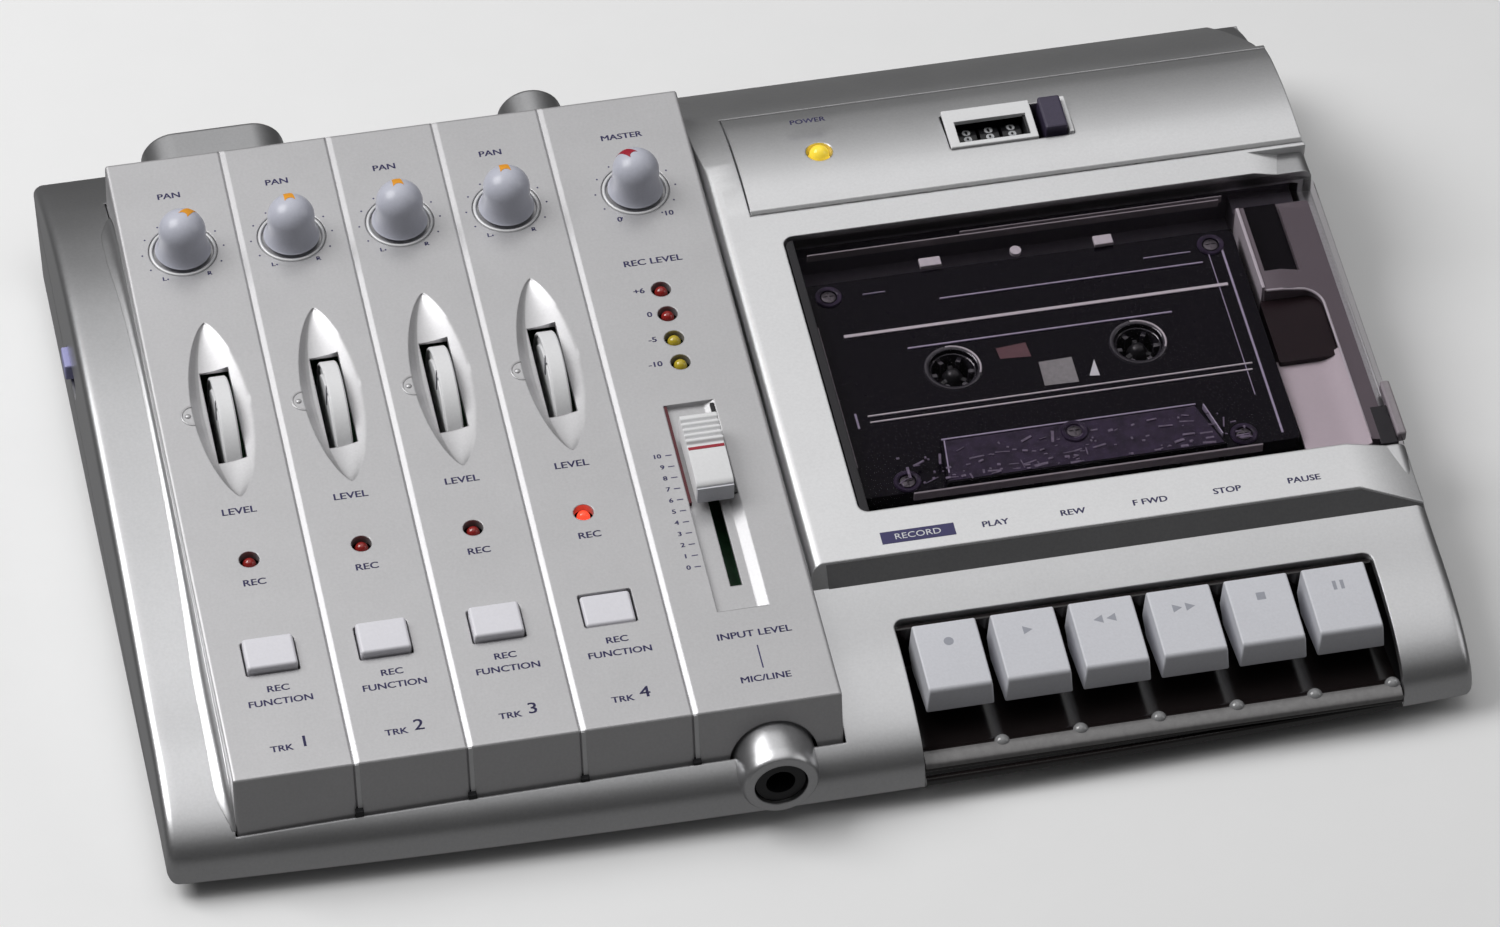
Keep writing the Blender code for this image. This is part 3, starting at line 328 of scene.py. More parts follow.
PALE_INK = material("pale_ink", (0.72, 0.73, 0.75), 0.5, grain=(1800, 0.05), bump=0.03)
KEY_INK = material("key_symbol_ink", (0.36, 0.37, 0.42), 0.5, grain=(1800, 0.08), bump=0.03)
ORANGE = material("orange_ink", (0.86, 0.36, 0.03), 0.42, grain=(1500, 0.1), bump=0.04)
CRIMSON = material("crimson_ink", (0.36, 0.012, 0.03), 0.42, grain=(1500, 0.1), bump=0.04)
# Dark red, used only for a painted shadow in the fader's trough.
DARK_RED_SHADOW = material("dark_red_painted_shadow", (0.10, 0.012, 0.018), 0.4, grain=(1500, 0.1), bump=0.04)
RED_LED = material("red_led", (0.30, 0.015, 0.012), 0.12, grain=(600, 0.15), bump=0.02, coat=0.6)
RED_LED_LIT = material("red_led_lit", (0.9, 0.06, 0.03), 0.15, grain=(600, 0.05), bump=0.02,
                       emission=((1.0, 0.07, 0.03), 0.9))
YELLOW_LED = material("yellow_led", (0.55, 0.42, 0.03), 0.14, grain=(600, 0.15), bump=0.02, coat=0.6)
YELLOW_LED_LIT = material("yellow_led_lit", (0.9, 0.68, 0.05), 0.15, grain=(600, 0.05), bump=0.02,
                          emission=((1.0, 0.72, 0.08), 0.35))
SMOKE = clear_plastic("smoked_clear_plastic", (0.93, 0.915, 0.93), 0.001)


# ------------------------------------------------------------------ mesh helpers
def raw(name, bm, place=PANEL):
    """A bmesh in millimetres becomes an object in metres whose mesh is in world coordinates."""
    bmesh.ops.recalc_face_normals(bm, faces=bm.faces)
    bm.transform(Matrix.Scale(MM, 4) @ place)
    if bm.calc_volume(signed=True) < 0:
        bmesh.ops.reverse_faces(bm, faces=bm.faces)
    mesh = bpy.data.meshes.new(name)
    bm.to_mesh(mesh)
    bm.free()
    made = bpy.data.objects.new(name, mesh)
    SCENE.collection.objects.link(made)
    return made


def bake(obj):
    """Turn an object's modifiers into its mesh."""
    graph = bpy.context.evaluated_depsgraph_get()
    mesh = bpy.data.meshes.new_from_object(obj.evaluated_get(graph))
    obj.modifiers.clear()
    old = obj.data
    obj.data = mesh
    bpy.data.meshes.remove(old)
    return obj


def boolean(obj, tools, operation):
    for tool in tools:
        modifier = obj.modifiers.new("cut", "BOOLEAN")
        modifier.operation = operation
        modifier.object = tool
    bake(obj)
    for tool in tools:
        bpy.data.objects.remove(tool)
    return obj


def carve(obj, *tools):
    return boolean(obj, tools, "DIFFERENCE")


def weld(obj, *tools):
    return boolean(obj, tools, "UNION")


def bevel(obj, width, segments=2, angle=30):
    modifier = obj.modifiers.new("bevel", "BEVEL")
    modifier.width = width * MM
    modifier.segments = segments
    modifier.limit_method = "ANGLE"
    modifier.angle_limit = math.radians(angle)
    modifier.use_clamp_overlap = True
    modifier.harden_normals = False
    return bake(obj)


def even_shading(obj):
    modifier = obj.modifiers.new("even_shading", "WEIGHTED_NORMAL")
    modifier.keep_sharp = True
    modifier.weight = 100


def piece(obj, finish, body="root", replaces=(), smooth=35):
    """A finished piece: its material, shading, body and material slot."""
    obj.data.materials.clear()
    obj.data.materials.append(finish)
    obj.data.shade_smooth()
    obj.data.set_sharp_from_angle(angle=math.radians(smooth))
    even_shading(obj)
    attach(obj, body)
    if replaces:
        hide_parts(*replaces)
    return obj


def joined(name, objects):
    """Several raw objects as one."""
    bm = bmesh.new()
    for obj in objects:
        bm.from_mesh(obj.data)
        bpy.data.objects.remove(obj)
    mesh = bpy.data.meshes.new(name)
    bm.to_mesh(mesh)
    bm.free()
    made = bpy.data.objects.new(name, mesh)
    SCENE.collection.objects.link(made)
    return made


def block(name, low, high, place=PANEL, radius=0.0, segments=3):
    bm = bmesh.new()
    bmesh.ops.create_cube(bm, size=1.0)
    size = Vector(high) - Vector(low)
    bm.transform(Matrix.Translation((Vector(high) + Vector(low)) / 2) @ Matrix.Diagonal((*size, 1)))
    if radius:
        bmesh.ops.bevel(bm, geom=bm.edges[:], offset=radius, segments=segments, affect="EDGES", profile=0.5)
    return raw(name, bm, place)


AXES = {"X": Matrix.Rotation(math.pi / 2, 4, "Y"), "Y": Matrix.Rotation(-math.pi / 2, 4, "X"), "Z": WORLD}


def lathe(name, profile, base, axis="Z", place=PANEL, steps=48, ring=False):
    """A body of revolution from (radius, height) points; a ring's profile is a closed loop."""
    bm = bmesh.new()
    turn = [(math.cos(math.tau * i / steps), math.sin(math.tau * i / steps)) for i in range(steps)]
    rings = []
    for radius, height in profile:
        spokes = turn if radius > 0 else [(0, 0)]
        rings.append([bm.verts.new((radius * x, radius * y, height)) for x, y in spokes])
    for near, far in zip(rings, rings[1:] + rings[:ring]):
        for i in range(steps):
            j = (i + 1) % steps
            corners = [near[i % len(near)], near[j % len(near)], far[j % len(far)], far[i % len(far)]]
            bm.faces.new(list(dict.fromkeys(corners)))
    for end in (rings[0], rings[-1]):
        if len(end) > 1 and not ring:
            bm.faces.new(end)
    bm.transform(Matrix.Translation(base) @ AXES[axis])
    return raw(name, bm, place)


def rod(name, base, radius, length, axis="Z", place=PANEL, steps=40):
    return lathe(name, [(radius, 0.0), (radius, length)], base, axis, place, steps)


def swept(name, outline, vector, place):
    bm = bmesh.new()
    face = bm.faces.new([bm.verts.new(point) for point in outline])
    moved = [item for item in bmesh.ops.extrude_face_region(bm, geom=[face])["geom"]
             if isinstance(item, bmesh.types.BMVert)]
    bmesh.ops.translate(bm, verts=moved, vec=vector)
    return raw(name, bm, place)


def prism(name, outline, low_x, high_x, place=WORLD):
    """An outline of (y, z) points, extruded along X."""
    return swept(name, [(low_x, y, z) for y, z in outline], (high_x - low_x, 0, 0), place)


def slab(name, outline, low_w, high_w, place=PANEL):
    """An outline of (x, v) points, extruded along w."""
    return swept(name, [(x, v, low_w) for x, v in outline], (0, 0, high_w - low_w), place)


def loft(name, rings, place=WORLD):
    bm = bmesh.new()
    made = [[bm.verts.new(point) for point in ring] for ring in rings]
    count = len(made[0])
    for near, far in zip(made, made[1:]):
        for i in range(count):
            j = (i + 1) % count
            bm.faces.new((near[i], near[j], far[j], far[i]))
    bm.faces.new(made[0])
    bm.faces.new(made[-1])
    return raw(name, bm, place)


def close_layers(bm, near, far):
    """Faces over two nets of vertices of the same size, and the walls between their borders."""
    rows, columns = len(near), len(near[0])
    for i in range(rows - 1):
        for j in range(columns - 1):
            bm.faces.new((near[i][j], near[i][j + 1], near[i + 1][j + 1], near[i + 1][j]))
            bm.faces.new((far[i][j], far[i + 1][j], far[i + 1][j + 1], far[i][j + 1]))
    border = [(0, j) for j in range(columns)] + [(i, columns - 1) for i in range(1, rows)]
    border += [(rows - 1, j) for j in range(columns - 2, -1, -1)] + [(i, 0) for i in range(rows - 2, 0, -1)]
    for (i, j), (k, m) in zip(border, border[1:] + border[:1]):
        bm.faces.new((far[i][j], far[k][m], near[k][m], near[i][j]))


def grid(name, points, thickness, place=PANEL):
    """A closed plate under a net of points: rows of (x, y, z), each thickened downwards."""
    bm = bmesh.new()
    top = [[bm.verts.new(point) for point in row] for row in points]
    low = [[bm.verts.new((x, y, z - thickness)) for x, y, z in row] for row in points]
    close_layers(bm, top, low)
    return raw(name, bm, place)


def rounded(low, high, radius, steps=6):
    """A rectangle's outline with round corners; radius is one number or one for each corner."""
    radii = radius if isinstance(radius, tuple) else (radius,) * 4
    corners = ((high[0], high[1], 0), (low[0], high[1], 90), (low[0], low[1], 180), (high[0], low[1], 270))
    points = []
    for (x, y, start), r in zip(corners, radii):
        if r <= 0:
            points.append((x, y))
            continue
        sx = 1 if x == high[0] else -1
        sy = 1 if y == high[1] else -1
        points += [(x - sx * r + r * math.cos(a), y - sy * r + r * math.sin(a))
                   for a in angles(start, start + 90, steps)]
    return points


def curve_through(points, per_span=6):
    """Points on a smooth curve through the given ones (Catmull-Rom), ends included."""
    vectors = [Vector(p) for p in points]
    ends = [vectors[0] * 2 - vectors[1], *vectors, vectors[-1] * 2 - vectors[-2]]
    made = []
    for a, b, c, d in zip(ends, ends[1:], ends[2:], ends[3:]):
        for i in range(per_span):
            t = i / per_span
            made.append(tuple(0.5 * ((2 * b) + (c - a) * t + (2 * a - 5 * b + 4 * c - d) * t * t
                                     + (3 * b - a - 3 * c + d) * t ** 3)))
    made.append(tuple(vectors[-1]))
    return made


def text_mesh(name, words, size, place, width=1.0, bold=0.0):
    """Flat lettering, centred on place; bold lettering is two copies, that far apart."""
    data = bpy.data.curves.new(name, "FONT")
    data.body = words
    data.size = size
    data.align_x = "CENTER"
    data.align_y = "CENTER"
    data.extrude = 0.02
    data.resolution_u = 3
    text = bpy.data.objects.new(name, data)
    SCENE.collection.objects.link(text)
    graph = bpy.context.evaluated_depsgraph_get()
    mesh = bpy.data.meshes.new_from_object(text.evaluated_get(graph))
    bpy.data.objects.remove(text)
    bm = bmesh.new()
    for step in ((-bold / 2, bold) if bold else (0.0,)):
        mesh.transform(Matrix.Translation((step, 0, 0)))
        bm.from_mesh(mesh)
    bm.transform(Matrix.Scale(MM, 4) @ place @ Matrix.Diagonal((width, 1, 1, 1)))
    bm.to_mesh(mesh)
    bm.free()
    made = bpy.data.objects.new(name, mesh)
    SCENE.collection.objects.link(made)
    return made


# ------------------------------------------------------------------ case
def inset(outline, distance):
    count = len(outline)
    moved = []
    for index, (y, z) in enumerate(outline):
        here = Vector((y, z))
        first = (here - Vector(outline[index - 1])).normalized()
        second = (Vector(outline[(index + 1) % count]) - here).normalized()
        normal = (Vector((first.y, -first.x)) + Vector((second.y, -second.x))).normalized()
        stretch = max(0.5, normal.dot(Vector((first.y, -first.x))))
        moved.append(tuple(here + normal * distance / stretch))
    return moved


def bowed(x, y):
    weight = min(1.0, max(0.0, (-60.0 - y) / 40.0))
    return y - FRONT_BOW * weight * (1 - (x / HALF_WIDTH) ** 2)


def case_outline(per_span):
    """The case's section as (y, z) points: an arched top over an undercut rear."""
    front = -HALF_DEPTH + FRONT_BOW + 0.7
    arch = curve_through([(front, 5.6), (front + 0.5, 8.4), *CASE_ARCH,
                          (HALF_DEPTH - 1.0, REAR_EDGE_TOP + 0.4)], per_span)
    return [(front, CASE_BOTTOM), *arch, (HALF_DEPTH, REAR_EDGE_TOP - 0.6),
            (HALF_DEPTH, REAR_EDGE_LOW), (UNDERCUT_START, CASE_BOTTOM)]


def case_height(y):
    """Height of the case's arched top at a y, without the bow."""
    arch = case_outline(CASE_SPAN_STEPS)
    for (y0, z0), (y1, z1) in zip(arch[1:-3], arch[2:-3]):
        if y0 <= y <= y1:
            return z0 + (z1 - z0) * (y - y0) / (y1 - y0)
    return arch[1][1]


def case_rings(outline):
    """Rings along X, with round side edges and drafted ends."""
    floor_z = min(z for _, z in outline)

    def ring(side, back, down):
        return [(side * (HALF_WIDTH - back - SIDE_DRAFT * (z - CASE_BOTTOM) / DRAFT_HEIGHT),
                 bowed(side * HALF_WIDTH, y), max(z, floor_z)) for y, z in inset(outline, down)]
    rounds = [(CASE_EDGE * (1 - math.cos(a)), CASE_EDGE * (1 - math.sin(a))) for a in angles(0, 90, 5)]
    left = [ring(-1, back, down) for back, down in rounds]
    right = [ring(1, back, down) for back, down in reversed(rounds)]
    inner = HALF_WIDTH - CASE_EDGE - SIDE_DRAFT - 1.0
    middle = [[(x, bowed(x, y), z) for y, z in outline] for x in spaced(-inner, inner, CASE_STATIONS)]
    return left + middle + right


def jack_bores():
    x, z, _ = FRONT_JACK
    return [*(rod("rear_bore", (rear_x, 80, rear_z), BORE_RADIUS, 40, "Y", WORLD)
              for rear_x, rear_z in REAR_JACKS.values()),
            rod("front_bore", (x, -115, z), BORE_RADIUS, 30, "Y", WORLD)]


def deck_openings():
    """Cutters for the door, the key pocket and the counter, which pass through the case and the deck."""
    left, front, rear = DOOR
    door = rounded((left, front), (HALF_WIDTH + 6, rear), (0.0, 2.3, 2.3, 0.0))
    pocket = rounded((POCKET[0], -120), (POCKET[1], POCKET_BACK_Y), (2.2, 2.2, 0.0, 0.0))
    return [slab("door_hole", door, DECK_W - 8.5, 20),
            slab("key_pocket", pocket, -5.0, 60.0, WORLD),
            block("counter_hole", (60.5, 152.0, -30), (92.7, 166.5, 20)),
            rod("led_hole", (*POWER_LED, -30), 3.4, 50)]


def make_case():
    shell = loft("case_shell", case_rings(case_outline(CASE_SPAN_STEPS)))
    hollow = inset(case_outline(1), WALL)
    hollow[0] = (hollow[1][0], -5.0)
    hollow[-2] = (hollow[-3][0], REAR_EDGE_LOW - 2)
    hollow[-1] = (hollow[-3][0], -5.0)
    reach = HALF_WIDTH - WALL - 0.6
    cavity = loft("cavity", [[(x, bowed(x, y), z) for y, z in hollow] for x in spaced(-reach, reach, 12)])
    opening = block("panel_opening", (PANEL_LEFT - 0.3, -98.6, 5.0), (PANEL_RIGHT + 0.3, 88.2, 60.0), WORLD)
    switch = block("power_slot", (-150, 36.0, 16.2), (-139, 50.0, 21.4), WORLD, 0.8)
    carve(shell, cavity, opening, switch, shoulder_cutter(0.4), *deck_openings(), *jack_bores())
    piece(shell, SILVER, replaces=("top_case",))


def pill(name, left, right, z, radius):
    """A rear boss: a round-ended bar along Y with a rounded rim at its far end."""
    low_y, high_y, rim, apart = 84.0, 104.6, 1.2, 0.001

    def ring(r, y):
        return [(centre + r * math.cos(angle) + (apart if centre == right else -apart), y,
                 z + r * math.sin(angle))
                for centre, start in ((right, -90), (left, 90)) for angle in angles(start, start + 180, 20)]
    ends = [(radius - rim * (1 - math.cos(a)), high_y - rim * (1 - math.sin(a))) for a in angles(0, 90, 4)]
    return loft(name, [ring(radius, low_y), *(ring(r, y) for r, y in ends)])


def make_bosses():
    for name, (x, spread, z, radius) in REAR_BOSSES.items():
        boss = pill(f"{name}_boss", x, x + spread, z, radius)
        carve(boss, *(rod("bore", (jack_x, 86.0, jack_z), BORE_RADIUS, 40, "Y", WORLD)
                      for jack_x, jack_z in REAR_JACKS.values()))
        piece(boss, SILVER)
    x, z, radius = FRONT_JACK
    profile = [(radius, -88.0), (radius - 0.6, -96.0), (radius - 0.9, -103.0), (radius - 1.3, -105.2),
               (radius - 1.9, -HALF_DEPTH)]
    boss = lathe("front_jack_boss", profile, (x, 0, z), "Y", WORLD, 72)
    carve(boss, rod("bore", (x, -115, z), BORE_RADIUS, 40, "Y", WORLD),
          block("floor", (-40, -120, -20), (20, -60, CASE_BOTTOM), WORLD))
    piece(boss, SILVER)


def crease_cutter(name, lowered):
    bm = bmesh.new()
    bmesh.ops.create_cube(bm, size=1.0)
    bm.transform(Matrix.Translation((40, -49, 30)) @ Matrix.Diagonal((200, 302, 60, 1)))
    place = PANEL @ Matrix.Translation((CREASE_X, DECK_FRONT_V, DECK_W - lowered)) \
        @ Matrix.Rotation(math.atan(CREASE_SLOPE), 4, "Y")
    return raw(name, bm, place)


def shoulder_cutter(lowered):
    """Rounds the deck's left edge, next to the mixer panel."""
    top = DECK_W - lowered
    low_v = -20
    arc = [(DECK_LEFT + SHOULDER - SHOULDER * math.sin(a), low_v, top - SHOULDER * 0.8 * (1 - math.cos(a)))
           for a in angles(9, 90, 9)]
    outer, inner = DECK_LEFT - 4, DECK_LEFT + SHOULDER
    outline = [(outer, low_v, 9), (inner, low_v, 9), (inner, low_v, top + 0.02), *arc,
               (outer, low_v, top - SHOULDER)]
    return swept("shoulder", outline, (0, 300, 0), PANEL)


def make_deck_block():
    """The raised deck: step, sloping frame around the door, crowned rear and dark rear band."""
    step_foot = panel_yz(DECK_FRONT_V - STEP_DROP, DECK_W - STEP_DROP)
    seam = panel_yz(SEAM_V, DECK_W)
    crown = curve_through([seam, (56.0, 35.9), (66.0, 35.8), (74.0, 34.9), (81.0, 33.4), (87.0, 31.2),
                           (97.0, 25.8), (HALF_DEPTH - 0.9, REAR_EDGE_TOP + 1.2)], 5)
    base = [(HALF_DEPTH - 0.4, REAR_EDGE_TOP - 0.4), (HALF_DEPTH - 4.0, 16.0), (80.0, 16.0),
            (step_foot[0] + 8, 16.0)]
    deck = prism("deck_frame", [step_foot, panel_yz(DECK_FRONT_V, DECK_W), *crown, *base], DECK_LEFT,
                 HALF_WIDTH - 1.2)
    corner = slab("corner", [(135.0, 120.0), (135.0, 105.0), (140.5, 83.0), (150.0, 83.0), (150.0, 120.0)],
                  REAR_EDGE_TOP, 60.0, WORLD)
    carve(deck, crease_cutter("crease", 0.0), corner, shoulder_cutter(0.0))
    foot = panel_yz(DECK_FRONT_V - STEP_DROP + 3.5, 0)[0]
    cavity = [(foot, 12), panel_yz(DECK_FRONT_V + 1.2, DECK_W - WALL),
              panel_yz(SEAM_V - 1, DECK_W - WALL - 2.6), (COVER_END_Y - 2, COVER_SEAT_Z - WALL),
              (88, 29), (98, 22), (99, 12)]
    hollow = prism("deck_cavity", cavity, DECK_LEFT + 4.4, HALF_WIDTH - 4.2)
    carve(hollow, crease_cutter("cavity_crease", WALL))
    seat = block("cover_seat", (COVER_LEFT - 0.3, seam[0], COVER_SEAT_Z),
                 (HALF_WIDTH + 5, COVER_END_Y + 0.3, 60.0), WORLD)
    carve(deck, hollow, seat, *deck_openings())
    bevel(deck, 0.35, 2, 28)
    piece(deck, DECK_SILVER)


def make_step():
    """The strip on the step between the labels and the keys: dark grey, partly the band's own colour and
    partly painted shade of the step's front face.
    """
    low = (DECK_FRONT_V - STEP_DROP + 0.35, DECK_W - STEP_DROP + 0.35, 0.0)
    high = (DECK_FRONT_V - 0.4, DECK_W - 0.4, 1.0)
    rows = []
    for v, w, follow in (low, high):
        row = []
        for x in spaced(DECK_LEFT + SHOULDER + 0.4, HALF_WIDTH - 1.4, 40):
            drop = follow * max(0.0, x - CREASE_X) * CREASE_SLOPE
            row.append((x, v - drop - 0.10, w - drop + 0.12))
        rows.append(row)
    piece(grid("step_strip", rows, 0.5), STEP_GREY_AND_SHADE)


def make_cover():
    front = panel_yz(SEAM_V, DECK_W)[0] + 0.3
    rear = COVER_END_Y - 0.1
    seat = COVER_SEAT_Z + 0.3
    top = curve_through([(front + 0.9, 35.7), (58.0, 36.6), (67.0, 36.5), (75.0, 35.6),
                         (rear - 0.8, 34.1)], 8)
    cover = prism("deck_cover_panel", [(front, seat), (front, 35.0), *top, (rear, 33.3), (rear, seat)],
                  COVER_LEFT, HALF_WIDTH - 1.6)
    carve(cover, slab("recess", rounded((62.0, 153.2), (91.4, 165.4), 0.8), -12, 20),
          rod("led", (*POWER_LED, -12), 3.1, 30))
    bevel(cover, 0.3, 2, 32)
    piece(cover, DECK_SILVER, replaces=("deck_cover",))


def make_counter():
    """The counter's pale bezel with its window, and the numbers on its three wheels."""
    bezel = block("counter_bezel", (62.3, 153.5, -3.0), (82.8, 165.1, -1.9), radius=0.2)
    carve(bezel, block("window", (64.5, 154.7, -6), (81.2, 161.2, 2)))
    surround = block("counter_surround", (90.1, 153.8, -6.0), (91.2, 165.0, -2.0), radius=0.2)
    piece(joined("counter_frame", [bezel, surround]), WHITE)
    first_x, pitch, axle_v, axle_w = COUNTER_WHEELS
    for number, name in enumerate(("hundreds", "tens", "units")):
        axle = on_panel(first_x + pitch * number, axle_v, axle_w)
        digits = []
        for digit in range(10):
            turn = Matrix.Rotation(math.radians(-14 - 36 * digit), 4, "X")
            place = axle @ turn @ Matrix.Translation((0, 0, 4.0))
            digits.append(text_mesh("digit", str(digit), 3.2, place, 1.2, 0.2))
        piece(joined(f"counter_digits_{name}", digits), PALE_INK, f"counter_{name}")


# ------------------------------------------------------------------ mixer panel
def panel_outline():
    top_rear = panel_yz(PANEL_LENGTH, 0)
    return [panel_yz(0, 0), top_rear, (top_rear[0] + 2.2, 26.0), (60.0, 30.6), (30.0, 31.6), (0.0, 29.2),
            (-40.0, 23.8), (-70.0, 18.8), (-92.0, 14.4), (-98.3, 11.6)]


def scoop_depth(across):
    """Share of the full depth at a place across the hollow, from -1 at its left edge to 1."""
    if across < -0.55:
        return math.sin((across + 1) / 0.45 * math.pi / 2) ** 0.8
    return math.sin((1 - across) / 1.55 * math.pi / 2) ** 1.15


def scoop_cutter(name, middle, centre_v):
    """The almond hollow around a thumb wheel: steep on its left, gentle on its right, with pointed ends."""
    half_width, half_length = SCOOP[0] / 2, SCOOP[1] / 2
    rows = []
    for lean in angles(-89, 89, 32):
        along = math.sin(lean)
        half = half_width * (1 - along ** 2) ** 0.72
        depth = SCOOP_DEPTH * (half / half_width) ** 0.6
        rows.append([(middle + half * across, centre_v + half_length * along, -depth * scoop_depth(across))
                     for across in spaced(-1, 1, 16)])
    bm = bmesh.new()
    low = [[bm.verts.new(p) for p in row] for row in rows]
    top = [[bm.verts.new((x, v, 3.0)) for x, v, _ in row] for row in rows]
    close_layers(bm, low, top)
    return raw(name, bm)


def groove_cutter(name, x, place, length):
    """A V-shaped groove, steep on its left, along the second axis of place."""
    return swept(name, [(x - 0.85, -3.0, 0.1), (x - 0.4, -3.0, -0.6), (x + 1.0, -3.0, 0.1), (x, -3.0, 4.0)],
                 (0, length, 0), place)


def fader_trough():
    """The fader's trough: an upright left side and a wide slope on the right."""
    left, right = FADER_X - 5.7, FADER_X + 5.7
    low_v = 27.0
    return swept("trough", [(left, low_v, 5.0), (left, low_v, -1.2), (right - 2.4, low_v, -1.2),
                            (right, low_v, 0.0), (right, low_v, 5.0)], (0, 60.0, 0), PANEL)


def column_cutters(x):
    """Holes of one input column: record LED, record button and level wheel."""
    half_width, half_length, gap = REC_BUTTON[0] / 2, REC_BUTTON[1] / 2, 0.4
    middle = x + WHEEL_OFFSET
    return [rod("led_hole", (x, REC_LED_V, -9), LED_HOLE_RADIUS, 14, steps=32),
            slab("button_hole", rounded((x - half_width - gap, REC_BUTTON_V - half_length - gap),
                                        (x + half_width + gap, REC_BUTTON_V + half_length + gap), 0.5, 3),
                 -9, 5),
            block("slot", (middle - SLOT[0] / 2, WHEEL_V - SLOT[1] / 2, -9),
                  (middle + SLOT[0] / 2, WHEEL_V + SLOT[1] / 2, 5))]


def make_panel():
    panel = prism("mixer_panel_top", panel_outline(), PANEL_LEFT, PANEL_RIGHT)
    bevel(panel, 0.7, 3, 30)
    top_rear = panel_yz(PANEL_LENGTH - PANEL_WALL, -PANEL_WALL)
    hollow = [panel_yz(PANEL_WALL, -PANEL_WALL), top_rear, (top_rear[0] + 1.5, 5.0), (-96.2, 5.0),
              (-96.0, 11.6)]
    tools = [prism("hollow", hollow, PANEL_LEFT + PANEL_WALL, PANEL_RIGHT - PANEL_WALL)]
    for x in COLUMNS:
        tools += column_cutters(x)
    for x in (*COLUMNS, MASTER_X):
        tools += [rod("ring", (x, KNOB_V, -0.8), 7.8, 5, steps=64), rod("hole", (x, KNOB_V, -9), 3.6, 14)]
    tools += [rod("led_hole", (LEVEL_LED_X, v, -9), LED_HOLE_RADIUS, 14, steps=32) for v in LEVEL_LED_V]
    jack_x, jack_z, jack_radius = FRONT_JACK
    tools += [fader_trough(), block("fader_slot", (FADER_X - 1.3, 34.5, -9), (FADER_X + 1.3, 79.0, 5)),
              rod("jack_notch", (jack_x, -102, jack_z), jack_radius + 0.1, 6.5, "Y", WORLD)]
    carve(panel, *(scoop_cutter("scoop", x + WHEEL_OFFSET, WHEEL_V + 0.9) for x in COLUMNS))
    for x in STRIP_EDGES:
        carve(panel, groove_cutter("groove", x, PANEL, 190.0), groove_cutter("groove", x, FRONT_FACE, 20.0))
    carve(panel, *tools)
    piece(panel, PANEL_SILVER, replaces=("mixer_panel",), smooth=14)


def panel_fillet():
    """The concave fillet between the case and the panel's left wall, fading at both ends."""
    front, rear = -97.0, 80.0
    rows = []
    for y in spaced(front, rear, 60):
        base = case_height(y)
        panel_top = 26.2 + (y + 95.2) * math.tan(TILT)
        from_end = min(y - front, rear - y)
        rise = min(3.2, (panel_top - base) * 0.45, 0.5 + 0.35 * (from_end + 1.0))
        rows.append([(PANEL_LEFT - rise + rise * math.sin(a) - 0.02,
                      bowed(PANEL_LEFT - rise + rise * math.sin(a), y),
                      base + rise * (1 - math.cos(a)) + 0.05) for a in angles(0, 90, 8)])
    piece(grid("panel_fillet", rows, 1.0, WORLD), SILVER, smooth=60)


def half_ring(centre, radius=2.7, thickness=0.28, sides=8):
    """A thin half torus that bulges to the left of centre."""
    bm = bmesh.new()
    around = [math.tau * k / sides for k in range(sides)]
    rings = []
    for angle in angles(90, 270, 18):
        rings.append([bm.verts.new((centre + (radius + thickness * math.cos(t)) * math.cos(angle),
                                    WHEEL_V + (radius + thickness * math.cos(t)) * math.sin(angle),
                                    0.22 * math.sin(t))) for t in around])
    for near, far in zip(rings, rings[1:]):
        for k in range(sides):
            bm.faces.new((near[k], near[(k + 1) % sides], far[(k + 1) % sides], far[k]))
    bm.faces.new(rings[0])
    bm.faces.new(rings[-1])
    return raw("half_ring", bm)


def make_panel_trims():
    """The fillet, painted highlights on the grooves' edges and painted shade at their feet, and the half
    rings beside the wheels.
    """
    panel_fillet()
    # Lighter silver strips on the grooves' right slopes on the front face: painted highlight.
    lights = [block("groove_lit_strip", (x - 0.25, 1.8, -0.62), (x + 0.75, 14.5, -0.08), FRONT_FACE)
              for x in STRIP_EDGES]
    piece(joined("groove_edge_highlights", lights), SILVER_HIGHLIGHT)
    # Black blocks at the grooves' feet: painted shade in the notches there.
    feet = [block("groove_foot_shade", (x - 1.0, -98.75, 12.0), (x + 0.8, -96.9, 15.0), WORLD) for x in STRIP_EDGES]
    piece(joined("groove_feet_shade", feet), BLACK)
    dot = [(0, 0.34), (0.35, 0.3), (0.6, 0.16), (0.7, 0.0), (0.7, -0.1), (0, -0.1)]
    marks = []
    for x in COLUMNS:
        centre = x + WHEEL_OFFSET - SCOOP[0] / 2 + 0.2
        marks += [half_ring(centre), lathe("dot", dot, (centre - 1.3, WHEEL_V, 0), steps=20)]
    piece(joined("wheel_centre_marks", marks), PANEL_SILVER)


# ------------------------------------------------------------------ controls
def dome_profile(top, base, height, crown):
    """Half section of a domed knob whose straight sides flare out at the foot, with its shaft."""
    rise = [(top * math.sin(a), height - crown + crown * math.cos(a)) for a in angles(0, 90, 10)]
    waist = [(top + (base - top) * t ** 3.2, (height - crown) * (1 - t)) for t in spaced(0.15, 0.90, 5)]
    return [*rise, *waist, (base, 0.35), (base - 0.3, 0.0), (3.0, 0.0), (3.0, -9.0), (0.0, -9.0)]


